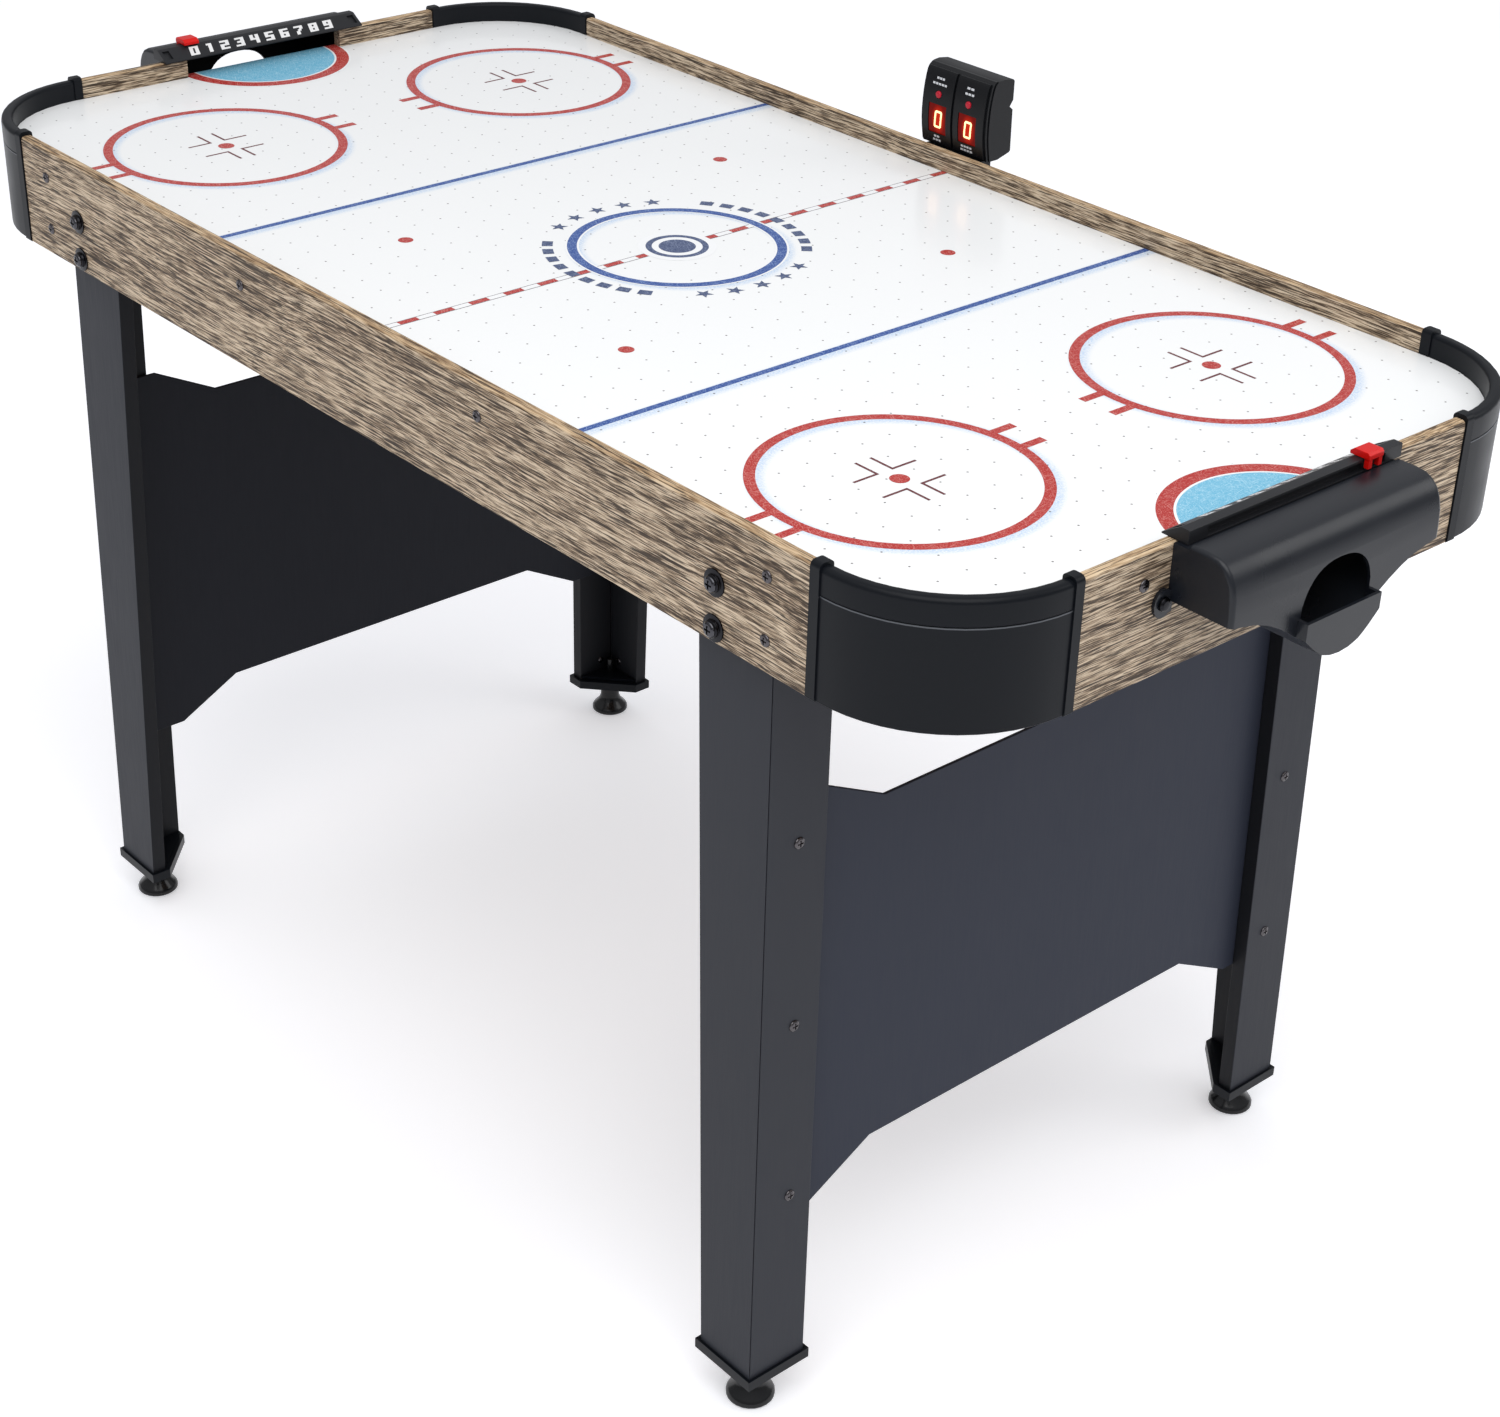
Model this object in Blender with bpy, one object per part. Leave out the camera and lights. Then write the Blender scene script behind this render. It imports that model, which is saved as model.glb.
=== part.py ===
# Air hockey table, 54-inch class, built as separate pieces.
# Metres, +Z up, floor at z = 0.  X runs along the table, Y across it.
# The -Y long side is the near side, and the +X end is the right end.
import math

import bmesh
import bpy
from mathutils import Matrix, Vector

# ---------------------------------------------------------------- dimensions
LENGTH = 1.372            # outer length over the two end rails
WIDTH = 0.6826            # outer width over the two side rails
HX, HY = LENGTH / 2, WIDTH / 2
GAP = 0.0003              # clearance between touching pieces
TINY = 1e-5               # smaller than any edge of the model
PAST = 0.0100             # how far a cutter reaches past what it cuts

# Table top
Z_BOARD_LOW = 0.7228      # underside of the rail boards
Z_BOARD_TOP = 0.8263      # top of the rail boards
Z_PLAY = 0.8078           # playing surface
PLAY_THICK = 0.0120       # playfield sheet
Z_LEDGE = Z_PLAY - PLAY_THICK - GAP       # ledge that the sheet lies on
RAIL_THICK = 0.0150       # rail board below the ledge
RAIL_LIP = 0.0110         # rail board above the ledge
RAIL_ROUND = 0.0034       # outer top edge of the rail
RAIL_ROUND_IN = 0.0022    # inner top edge of the rail
SOFT_EDGE = 0.0006        # broken bottom edge of the rail

# Corner caps
CORNER_R = 0.1200         # outer radius in plan
CORNER_STEPS = 14
SIDE_STRIP = 0.1305       # end of the side rail wood, from the table's end
END_STRIP = 0.1295        # end of the end rail wood, from the table's side
Z_CAP_TOP = 0.8272
CAP_ROUND = 0.0044        # outer top edge
CAP_ROUND_IN = 0.0033     # inner top edge
CAP_SKIRT = 0.0045        # wall below the shelf
SHELF_THICK = 0.0060      # shelf under the playfield sheet
SHELF_RIB = 0.0165        # foot of the rib under the shelf, below the ledge
Z_GROOVE = 0.8060         # groove round the cap
GROOVE_HALF, GROOVE_DEEP = 0.0007, 0.0009
Z_STRIP_TOP = 0.8300      # raised strip at each end of the cap
STRIP_PROUD = 0.0014
STRIP_IN = 0.0122         # strip's inner face, above the sheet

# Legs
LEG_THICK = 0.0145        # leg boards
LEG_X_TOP, LEG_Y_TOP = 0.5044, 0.3259     # outer leg corner at Z_LEG_REF
LEG_X_LOW, LEG_Y_LOW = 0.5152, 0.3351     # outer leg corner at Z_LEG_LOW
Z_LEG_REF, Z_LEG_LOW, Z_LEG_TOP = 0.7020, 0.0405, 0.7900
LEG_SIDE_W_TOP, LEG_SIDE_W_LOW = 0.0850, 0.0629   # width of the side board
LEG_END_W = 0.0598                                # width of the end board
BOLT_X, BOLT_Z = 0.4566, (0.7713, 0.7349)
BOLT_HOLE_R = 0.0036
LEG_CAP_Z = (0.0372, 0.0470)      # underside and rim of the cap at the foot of a leg
LEG_CAP_RIM = 0.0028
LEG_CAP_BLOCK = 0.0520            # top of the low block between the boards
LEG_CAP_SLOPE = 0.0120            # how much the block narrows toward the floor
LEG_ROOM = 0.0004                 # room round the boards inside the cap
FOOT_X, FOOT_Y, FOOT_R = 0.4906, 0.3113, 0.0210
FOOT_HOLE_R = 0.0044

# End panels
PANEL_THICK = 0.0032
PANEL_HALF_W = 0.3095
PANEL_LOW, PANEL_LOW_MID = 0.1870, 0.2227         # lower edge at the legs and between them
PANEL_TOP_MID, PANEL_TOP = 0.5543, 0.5880         # upper edge between the legs and at them
PANEL_BEND_Y = (0.1935, 0.2600)

# Goals
MOUTH_HALF = 0.0920       # half width of the goal mouth
BOX_Y = -0.0060           # goal box centre at the right end; the left end is its half turn
BOX_HALF = 0.1165         # half width of the goal box
BOX_BACK, BOX_FRONT = HX + GAP, 0.7440
BOX_WALL = 0.0028
BOX_TOP, BOX_STEP = 0.8300, 0.8264        # roof, and the floor of the groove beside the strip
ROOF_X, ROOF_Z = 0.7160, 0.7900           # centre of the curve from the roof to the front
ROOF_SQUARE = 0.77
BOX_RAW_LOW = 0.7000      # the box before its lower edge is trimmed
BOX_END_R = 0.0060        # rounding of the box ends
EAR_Y, EAR_Z = 0.1235, 0.7820             # fixing ears, from the goal box centre
EAR_RY, EAR_RZ, EAR_THICK = 0.0095, 0.0115, 0.0026
EAR_WEB = 0.0085          # half height of the web that joins an ear to the box
EAR_HOLE_R = 0.0030
ARCH_HALF, ARCH_LOW, ARCH_Z, ARCH_RISE = 0.0388, 0.7600, 0.7640, 0.0385
ARCH_SQUARE = 0.85
TRAY_HALF, TRAY_FRONT, TRAY_LIP = 0.0415, 0.7535, 0.7650
STRIP_HALF = 0.1185       # half length of the score strip
STRIP_FOOT_X, STRIP_CREST_X = 0.6712, 0.6876
SLIT_HALF, SLIT_DEEP = 0.0985, 0.0050     # slit along the strip's outer face
SLIT_BELOW, SLIT_ABOVE = 0.0012, 0.0026   # wall left under and over the slit
Z_SCORE_LOW, Z_SCORE_TOP = Z_BOARD_TOP + 0.0005, 0.8378
POCKET_Y = (0.1075, 0.1150)               # sunk diamond near each end of the score strip
POCKET_REACH, POCKET_DEEP = (0.0039, 0.0153), 0.0022
SLOT_X = (0.6955, 0.7012) # groove between the strip's outer face and the roof
SLIDER_Y = 0.0805         # slider at score 0
SLIDER_X, SLIDER_HALF, SLIDER_HIGH = (0.6830, 0.7008), 0.0085, 0.0056
SLIDER_NOTCH = 0.0036     # half width of the notch between the slider's two legs

# Score counter
SB_X, SB_HALF = -0.0060, 0.0440           # middle and half width
SB_PANEL = ((-0.0475, -0.0085), (-0.0055, 0.0345))
SB_PANEL_Z = (0.8262, 0.8975)
SB_PLATE = (0.0020, 0.0046)               # cover plate, behind the raised panels
SB_CENTRES = ((-0.0270, "left"), (0.0130, "right"))
SB_BUTTON_Z, SB_BUTTON_HOLE_R = 0.8740, 0.0039
SB_WIN_Z, SB_WIN_HALF = (0.8360, 0.8645), 0.0118
SB_BACK, SB_BACK_LOW = 0.3772, 0.3780     # back of the rear housing, above and below its groove
SB_WALL = 0.0022
SB_BOARD_Y, SB_BOARD_Z, SB_BOARD_HALF = (0.3600, 0.3616), (0.8300, 0.8930), 0.0380
BRACKET_X = (SB_X - 0.0360, SB_X + 0.0370)
BRACKET_PLATE, BRACKET_RIB = 0.0034, 0.0026
BRACKET_LOW, BRACKET_SHELF, BRACKET_TOP = 0.7650, 0.8206, 0.8236
BRACKET_REACH = 0.3600

# Air supply
PLENUM_Z = (0.7300, 0.7350)
LEG_SLOT_X, LEG_SLOT_Y = (0.4150, 0.5080), (0.2610, 0.3600)   # leg openings in the plenum board
BEAM_X = (0.3200, 0.3380)
FAN_HOLE_R = 0.0480
HOUSING_R, HOUSING_WALL, HOUSING_LOW = 0.0530, 0.0030, 0.6680
FLANGE_R, FLANGE_THICK = 0.0680, 0.0035
GUARD_Z, GUARD_HUB_R, GUARD_RING_R = (0.6668, 0.6696), 0.0200, 0.0330
GUARD_BARS, GUARD_BAR_HALF, GUARD_TURN = 6, 0.0012, 7
MOTOR_R, SHAFT_R, Z_SHAFT_TOP = 0.0190, 0.0025, 0.7150
HUB_R, HUB_Z = 0.0150, (0.6960, 0.7140)
BLADES, BLADE_TIP = 7, 0.0470
INLET_X, INLET_Y, INLET_Z = (-0.0075, 0.0075), (0.0550, 0.0680), (0.7080, 0.7200)
INLET_HOLE_R, INLET_HOLE_FROM = 0.0034, 0.0600

CORNERS = [((sx, sy), f"{x_name}_{y_name}") for sx, x_name in ((-1, "left"), (1, "right"))
           for sy, y_name in ((-1, "near"), (1, "far"))]

# ---------------------------------------------------------------- materials
PALETTE = {
    "playfield_white": ((0.86, 0.88, 0.90), 0.18, 0.0),
    "oak_laminate": ((0.42, 0.34, 0.26), 0.55, 0.0),
    "black_moulding": ((0.022, 0.024, 0.027), 0.42, 0.0),
    "black_leg_laminate": ((0.040, 0.042, 0.048), 0.50, 0.0),
    "black_panel_laminate": ((0.034, 0.038, 0.045), 0.48, 0.0),
    "black_foot_plastic": ((0.012, 0.013, 0.015), 0.25, 0.0),
    "goal_plastic": ((0.020, 0.021, 0.024), 0.38, 0.0),
    "strip_plastic": ((0.030, 0.031, 0.034), 0.45, 0.0),
    "slider_red": ((0.75, 0.03, 0.03), 0.32, 0.0),
    "counter_housing_plastic": ((0.020, 0.021, 0.023), 0.45, 0.0),
    "counter_cover_plastic": ((0.024, 0.025, 0.027), 0.40, 0.0),
    "display_red": ((0.16, 0.008, 0.008), 0.15, 0.0),
    "button_red": ((0.55, 0.02, 0.04), 0.35, 0.0),
    "bracket_plastic": ((0.020, 0.020, 0.022), 0.50, 0.0),
    "circuit_green": ((0.02, 0.16, 0.06), 0.45, 0.0),
    "hardboard": ((0.30, 0.20, 0.12), 0.75, 0.0),
    "chipboard": ((0.55, 0.42, 0.28), 0.80, 0.0),
    "blower_plastic": ((0.025, 0.025, 0.028), 0.50, 0.0),
    "impeller_plastic": ((0.10, 0.10, 0.11), 0.45, 0.0),
    "motor_steel": ((0.55, 0.56, 0.58), 0.35, 1.0),
    "inlet_plastic": ((0.015, 0.015, 0.016), 0.35, 0.0),
    "bolt_black_steel": ((0.06, 0.06, 0.065), 0.35, 0.9),
}


def material(name):
    found = bpy.data.materials.get(name)
    if found:
        return found
    colour, rough, metal = PALETTE[name]
    made = bpy.data.materials.new(name)
    made.use_nodes = True
    node = made.node_tree.nodes["Principled BSDF"]
    node.inputs["Base Color"].default_value = (*colour, 1.0)
    node.inputs["Roughness"].default_value = rough
    node.inputs["Metallic"].default_value = metal
    made.diffuse_color = (*colour, 1.0)
    return made


# ---------------------------------------------------------------- outlines
def bow(cx, cy, rx, ry, start, end, steps, square=1.0):
    """Points on an arc of an ellipse; a square below 1 fills out its shoulders."""
    points = []
    for k in range(steps + 1):
        angle = math.radians(start + (end - start) * k / steps)
        c, s = math.cos(angle), math.sin(angle)
        u = math.copysign(abs(c) ** square, c)
        v = math.copysign(abs(s) ** square, s)
        points.append((cx + rx * u, cy + ry * v))
    return points


def arc(cx, cy, radius, start, end, steps):
    return bow(cx, cy, radius, radius, start, end, steps)


def smooth(points, steps):
    """A smooth curve through the points."""
    ends = [points[0], *points, points[-1]]
    curve = []
    for span in zip(ends, ends[1:], ends[2:], ends[3:]):
        for k in range(steps):
            t = k / steps
            curve.append(tuple(
                b + t / 2 * (c - a + t * (2 * a - 5 * b + 4 * c - d + t * (3 * b - 3 * c + d - a)))
                for a, b, c, d in zip(*span)))
    return curve + [points[-1]]


def height_on(curve, t):
    """The curve's second value where its first value is t."""
    for (a, va), (b, vb) in zip(curve, curve[1:]):
        if t <= b:
            return va + (vb - va) * (t - a) / (b - a)
    return curve[-1][1]


def mirrored(points):
    """The points, which start at 0, with their mirror image before them."""
    return [(-u, v) for u, v in reversed(points)] + [p for p in points if p[0] > 0]


def four_quarters(quarter):
    """Closes a quarter outline, which runs from +X round to +Y, over both axes."""
    upper = quarter + [(-x, y) for x, y in reversed(quarter)]
    return upper + [(x, -y) for x, y in reversed(upper)]


def span(sign, a, b):
    """The range from a to b, on the side that sign says."""
    return tuple(sorted((sign * a, sign * b)))


# ---------------------------------------------------------------- solids
def clear_scene():
    for obj in list(bpy.data.objects):
        bpy.data.objects.remove(obj, do_unlink=True)


def new_object(name, bm, mat=None):
    bmesh.ops.remove_doubles(bm, verts=bm.verts, dist=1e-6)
    bmesh.ops.recalc_face_normals(bm, faces=bm.faces)
    mesh = bpy.data.meshes.new(name)
    bm.to_mesh(mesh)
    bm.free()
    obj = bpy.data.objects.new(name, mesh)
    bpy.context.scene.collection.objects.link(obj)
    if mat:
        mesh.materials.append(material(mat))
    return obj


def loft(name, rings, mat=None):
    """A solid through rings of points, with its two ends closed."""
    bm = bmesh.new()
    rows = [[bm.verts.new(point) for point in ring] for ring in rings]
    count = len(rows[0])
    for p, q in zip(rows, rows[1:]):
        for i in range(count):
            j = (i + 1) % count
            bm.faces.new((p[i], p[j], q[j], q[i]))
    bm.faces.new(rows[0])
    bm.faces.new(rows[-1])
    return new_object(name, bm, mat)


def prism(name, outline, axis, low, high, mat=None):
    """Extrude a flat outline: (y, z) along x, (x, z) along y, or (x, y) along z."""
    def place(u, v, w):
        return {"x": (w, u, v), "y": (u, w, v), "z": (u, v, w)}[axis]

    return loft(name, [[place(u, v, w) for u, v in outline] for w in (low, high)], mat)


def box(name, x, y, z, mat=None):
    return prism(name, [(x[0], y[0]), (x[1], y[0]), (x[1], y[1]), (x[0], y[1])], "z", *z, mat)


def hull_of(name, points, mat=None):
    bm = bmesh.new()
    for point in points:
        bm.verts.new(point)
    inside = bmesh.ops.convex_hull(bm, input=bm.verts)["geom_interior"]
    spare = [item for item in inside if isinstance(item, bmesh.types.BMVert)]
    bmesh.ops.delete(bm, geom=spare, context="VERTS")
    bmesh.ops.dissolve_limit(bm, angle_limit=math.radians(0.5), verts=bm.verts, edges=bm.edges)
    return new_object(name, bm, mat)


def lathe(name, profile, steps, centre, direction=(0, 0, 1), mat=None):
    """Revolve a closed (radius, height) profile; a point at radius 0 is shared."""
    bm = bmesh.new()
    rings = []
    for radius, height in profile:
        if radius < TINY:
            rings.append([bm.verts.new((0, 0, height))])
            continue
        turns = [2 * math.pi * k / steps for k in range(steps)]
        rings.append([bm.verts.new((radius * math.cos(a), radius * math.sin(a), height)) for a in turns])
    for p, q in zip(rings, rings[1:] + rings[:1]):
        for k in range(steps):
            m = (k + 1) % steps
            if len(p) == 1 and len(q) == 1:
                continue
            if len(p) == 1:
                bm.faces.new((p[0], q[k], q[m]))
            elif len(q) == 1:
                bm.faces.new((p[k], p[m], q[0]))
            else:
                bm.faces.new((p[k], p[m], q[m], q[k]))
    turn = Vector((0, 0, 1)).rotation_difference(Vector(direction)).to_matrix().to_4x4()
    bmesh.ops.transform(bm, matrix=Matrix.Translation(Vector(centre)) @ turn, verts=bm.verts)
    return new_object(name, bm, mat)


def rod(name, centre, direction, radius, length, steps=16, mat=None):
    """A cylinder that starts at centre and runs along direction."""
    return lathe(name, [(0, 0), (radius, 0), (radius, length), (0, length)], steps, centre, direction, mat)


def ring(name, inner, outer, low, high, steps, mat=None):
    """A tube round the Z axis."""
    return lathe(name, [(inner, low), (outer, low), (outer, high), (inner, high)], steps, (0, 0, 0), mat=mat)


def combine(obj, other, operation):
    """Boolean obj with other, keep the result in obj, and drop other."""
    mod = obj.modifiers.new("boolean", "BOOLEAN")
    mod.operation = operation
    mod.solver = "EXACT"
    mod.object = other
    bpy.context.view_layer.update()
    deps = bpy.context.evaluated_depsgraph_get()
    mesh = bpy.data.meshes.new_from_object(obj.evaluated_get(deps))
    obj.modifiers.clear()
    old = obj.data
    keep = list(old.materials)
    obj.data = mesh
    mesh.name = obj.name
    mesh.materials.clear()
    for mat in keep:
        mesh.materials.append(mat)
    for poly in mesh.polygons:
        poly.material_index = 0
    bpy.data.meshes.remove(old)
    bpy.data.objects.remove(other, do_unlink=True)
    bm = bmesh.new()
    bm.from_mesh(mesh)
    bmesh.ops.remove_doubles(bm, verts=bm.verts, dist=2e-6)
    bmesh.ops.dissolve_limit(bm, angle_limit=math.radians(0.2), verts=bm.verts, edges=bm.edges)
    bm.to_mesh(mesh)
    bm.free()
    return obj


def cut(obj, other):
    return combine(obj, other, "DIFFERENCE")


def join(obj, other):
    return combine(obj, other, "UNION")


def move_mesh(obj, matrix):
    bm = bmesh.new()
    bm.from_mesh(obj.data)
    bmesh.ops.transform(bm, matrix=matrix, verts=bm.verts)
    bmesh.ops.recalc_face_normals(bm, faces=bm.faces)
    bm.to_mesh(obj.data)
    bm.free()


def twin(obj, name, matrix):
    other = bpy.data.objects.new(name, obj.data.copy())
    other.data.name = name
    bpy.context.scene.collection.objects.link(other)
    move_mesh(other, matrix)
    return other


HALF_TURN = Matrix.Rotation(math.pi, 4, "Z")
FLIP_X = Matrix.Scale(-1, 4, (1, 0, 0))
FLIP_Y = Matrix.Scale(-1, 4, (0, 1, 0))


# ---------------------------------------------------------------- table top
def make_playfield():
    """The sheet, with a tongue at each end that reaches through the goal mouth."""
    inset = RAIL_LIP + GAP
    corner = arc(HX - CORNER_R, HY - CORNER_R, CORNER_R - inset, 0, 90, 10)
    mouth = MOUTH_HALF - GAP
    quarter = [(HX - GAP, mouth), (HX - inset, mouth), *corner]
    prism("playfield", four_quarters(quarter), "z", Z_PLAY - PLAY_THICK, Z_PLAY, "playfield_white")


def rail_profile(face):
    """(across, z) outline of a rail board whose outer face is at +face."""
    lip, back = face - RAIL_LIP, face - RAIL_THICK
    outer = arc(face - RAIL_ROUND, Z_BOARD_TOP - RAIL_ROUND, RAIL_ROUND, 0, 90, 4)
    inner = arc(lip + RAIL_ROUND_IN, Z_BOARD_TOP - RAIL_ROUND_IN, RAIL_ROUND_IN, 90, 180, 3)
    bottom = [(face - SOFT_EDGE, Z_BOARD_LOW), (face, Z_BOARD_LOW + SOFT_EDGE)]
    return [*bottom, *outer, *inner, (lip, Z_LEDGE), (back, Z_LEDGE), (back, Z_BOARD_LOW)]


def make_side_rails():
    half = HX - SIDE_STRIP - GAP
    far = prism("side_rail_far", rail_profile(HY), "x", -half, half, "oak_laminate")
    for x in (-BOLT_X, BOLT_X):
        for z in BOLT_Z:
            cut(far, rod("tool", (x, HY - RAIL_THICK - PAST, z), (0, 1, 0), BOLT_HOLE_R, 4 * PAST))
    twin(far, "side_rail_near", FLIP_Y)


def make_end_rails():
    half = HY - END_STRIP - GAP
    right = prism("end_rail_right", rail_profile(HX), "y", -half, half, "oak_laminate")
    cut(right, box("tool", (HX - 5 * PAST, HX + PAST), (-MOUTH_HALF, MOUTH_HALF),
                   (Z_LEDGE, Z_BOARD_TOP + PAST)))
    for y in (BOX_Y - EAR_Y, BOX_Y + EAR_Y):
        cut(right, rod("tool", (HX - RAIL_THICK - PAST, y, EAR_Z), (1, 0, 0), EAR_HOLE_R, 4 * PAST, 12))
    twin(right, "end_rail_left", HALF_TURN)


def cap_profile(proud, top, outer_round, inside, inner_round):
    """(outward, z) section of a corner cap: skirt, shelf under the sheet and rounded top."""
    outer = [(proud - 2 * SOFT_EDGE, Z_BOARD_LOW), (proud, Z_BOARD_LOW + 2 * SOFT_EDGE)]
    crown = arc(proud - outer_round, top - outer_round, outer_round, 0, 90, 3)
    crown += arc(inner_round - inside, top - inner_round, inner_round, 90, 180, 3)
    lip = []
    if inside > RAIL_LIP:
        lip = [(-inside, Z_PLAY + 0.0012), (-RAIL_LIP, Z_PLAY + 0.0008)]
    shelf = [(-RAIL_LIP, Z_LEDGE), (-RAIL_THICK, Z_LEDGE), (-RAIL_THICK, Z_LEDGE - SHELF_THICK)]
    skirt = [(-CAP_SKIRT, Z_LEDGE - SHELF_RIB), (-CAP_SKIRT, Z_BOARD_LOW)]
    return outer, crown + lip + shelf + skirt


def sweep(name, profile, stations, mat=None):
    """Carry an (outward, z) profile past stations of (x, y, outward x, outward y)."""
    return loft(name, [[(x + u * nx, y + u * ny, z) for u, z in profile] for x, y, nx, ny in stations], mat)


def make_corner_caps():
    """A moulded wall that turns the corner, with a raised strip at each end."""
    outer, rest = cap_profile(0.0, Z_CAP_TOP, CAP_ROUND, RAIL_LIP, CAP_ROUND_IN)
    groove = [(0.0, Z_GROOVE - GROOVE_HALF), (-GROOVE_DEEP, Z_GROOVE), (0.0, Z_GROOVE + GROOVE_HALF)]
    wall = outer + groove + rest
    outer, rest = cap_profile(STRIP_PROUD, Z_STRIP_TOP, CAP_ROUND, STRIP_IN, CAP_ROUND_IN)
    strip = outer + rest

    cx, cy = HX - CORNER_R, HY - CORNER_R
    y_end, x_end = HY - END_STRIP + GAP, HX - SIDE_STRIP + GAP
    first, last = (HX, y_end, 1, 0), (x_end, HY, 0, 1)
    stations = [first]
    for k in range(CORNER_STEPS + 1):
        c, s = arc(0, 0, 1, 0, 90, CORNER_STEPS)[k]
        stations.append((cx + CORNER_R * c, cy + CORNER_R * s, c, s))
    cap = sweep("corner_cap_right_far", wall, [*stations, last], "black_moulding")
    join(cap, sweep("tool", strip, [first, (HX, cy - 2 * GAP, 1, 0)]))
    join(cap, sweep("tool", strip, [(cx - 2 * GAP, HY, 0, 1), last]))
    twin(cap, "corner_cap_right_near", FLIP_Y)
    twin(cap, "corner_cap_left_far", FLIP_X)
    twin(cap, "corner_cap_left_near", HALF_TURN)


# ---------------------------------------------------------------- legs
def leg_corner(z):
    """Outer corner of the leg, which leans out slightly toward the floor."""
    k = (Z_LEG_REF - z) / (Z_LEG_REF - Z_LEG_LOW)
    return LEG_X_TOP + (LEG_X_LOW - LEG_X_TOP) * k, LEG_Y_TOP + (LEG_Y_LOW - LEG_Y_TOP) * k


def leg_point(side, z, inset_x, inset_y):
    """A point at height z, inset from the leg's outer corner; side holds the signs of x and y."""
    x, y = leg_corner(z)
    return side[0] * (x - inset_x), side[1] * (y - inset_y), z


def make_leg_boards(side, tag):
    """A side board and an end board, mitred where they meet."""
    thick = LEG_THICK
    mitre = GAP / math.sqrt(2)
    wide, narrow = [], []
    for z, width in ((Z_LEG_LOW, LEG_SIDE_W_LOW), (Z_LEG_TOP, LEG_SIDE_W_TOP)):
        for inset in ((mitre, 0), (width, 0), (width, thick), (thick + mitre, thick)):
            wide.append(leg_point(side, z, *inset))
        for inset in ((0, mitre), (0, LEG_END_W), (thick, LEG_END_W), (thick, thick + mitre)):
            narrow.append(leg_point(side, z, *inset))
    board = hull_of(f"leg_side_board_{tag}", wide, "black_leg_laminate")
    start = side[1] * (HY - 6 * PAST)
    for z in BOLT_Z:
        cut(board, rod("tool", (side[0] * BOLT_X, start, z), (0, side[1], 0), BOLT_HOLE_R, 8 * PAST))
    hull_of(f"leg_end_board_{tag}", narrow, "black_leg_laminate")


def make_leg_cap(side, tag):
    """A plate under the boards, a rim round them and a block between them."""
    low, high = LEG_CAP_Z
    inner, rim, room = LEG_THICK + LEG_ROOM, LEG_CAP_RIM, LEG_ROOM
    reach_x, reach_y = LEG_SIDE_W_LOW + 3 * LEG_ROOM, LEG_END_W + 3 * LEG_ROOM

    def plan(*insets):
        return [leg_point(side, Z_LEG_LOW, *inset)[:2] for inset in insets]

    arm = inner + rim
    outline = plan((-rim, -rim), (reach_x + rim, -rim), (reach_x + rim, arm), (arm, reach_y + rim),
                   (-rim, reach_y + rim))
    cap = prism(f"leg_cap_{tag}", outline, "z", low, high, "black_moulding")
    boards = plan((-room, -room), (reach_x, -room), (reach_x, inner), (inner, inner), (inner, reach_y),
                  (-room, reach_y))
    cut(cap, prism("tool", boards, "z", Z_LEG_LOW - GAP, high + PAST))
    foot = [(inner, inner), (reach_x - LEG_CAP_SLOPE, inner), (inner, reach_y - LEG_CAP_SLOPE)]
    head = [(inner, inner), (reach_x, inner), (inner, reach_y)]
    join(cap, hull_of("tool", [leg_point(side, low, *p) for p in foot]
                      + [leg_point(side, LEG_CAP_BLOCK, *p) for p in head]))
    centre = (side[0] * FOOT_X, side[1] * FOOT_Y, low - PAST)
    cut(cap, rod("tool", centre, (0, 0, 1), FOOT_HOLE_R, LEG_CAP_BLOCK, 20))


def make_leveler(side, tag):
    """A foot with a dished pad, a neck and a plain stem in place of its thread."""
    pad = [(0, 0), (FOOT_R - 0.0015, 0), (FOOT_R, 0.0015), (FOOT_R, 0.0046), (FOOT_R - 0.0020, 0.0078)]
    neck = [(0.0140, 0.0128), (0.0112, 0.0190), (0.0108, 0.0262), (0.0092, 0.0300), (0.0092, 0.0366)]
    stem = [(FOOT_HOLE_R - 0.00012, 0.0368), (FOOT_HOLE_R - 0.00012, 0.0680), (0, 0.0680)]
    centre = (side[0] * FOOT_X, side[1] * FOOT_Y, 0)
    lathe(f"leveler_{tag}", pad + neck + stem, 24, centre, mat="black_foot_plastic")


def make_leg_bolts(side, tag):
    """Shank through the rail and the leg board, washer and domed head."""
    shank = [(0, -0.0370), (0.0032, -0.0370), (0.0032, 0)]
    washer = [(0.0110, 0), (0.0110, 0.0012), (0.0074, 0.0015)]
    dome = [(0.0071, 0.0032), (0.0052, 0.0046), (0.0026, 0.0052), (0, 0.0053)]
    for z, level in zip(BOLT_Z, ("upper", "lower")):
        seat = (side[0] * BOLT_X, side[1] * (HY + GAP / 2), z)
        lathe(f"leg_bolt_{tag}_{level}", shank + washer + dome, 18, seat, (0, side[1], 0), "bolt_black_steel")


def make_end_panels():
    """A shaped board behind the end boards of each pair of legs."""
    mid, leg = PANEL_BEND_Y
    half = [(mid, PANEL_LOW_MID), (leg, PANEL_LOW), (PANEL_HALF_W, PANEL_LOW),
            (PANEL_HALF_W, PANEL_TOP), (leg, PANEL_TOP), (mid, PANEL_TOP_MID)]
    outline = half + [(-y, z) for y, z in reversed(half)]
    front = LEG_THICK + GAP
    for sx, tag in ((1, "right"), (-1, "left")):
        faces = [[(sx * (leg_corner(z)[0] - inset), y, z) for y, z in outline]
                 for inset in (front, front + PANEL_THICK)]
        loft(f"end_panel_{tag}", faces, "black_panel_laminate")


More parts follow.
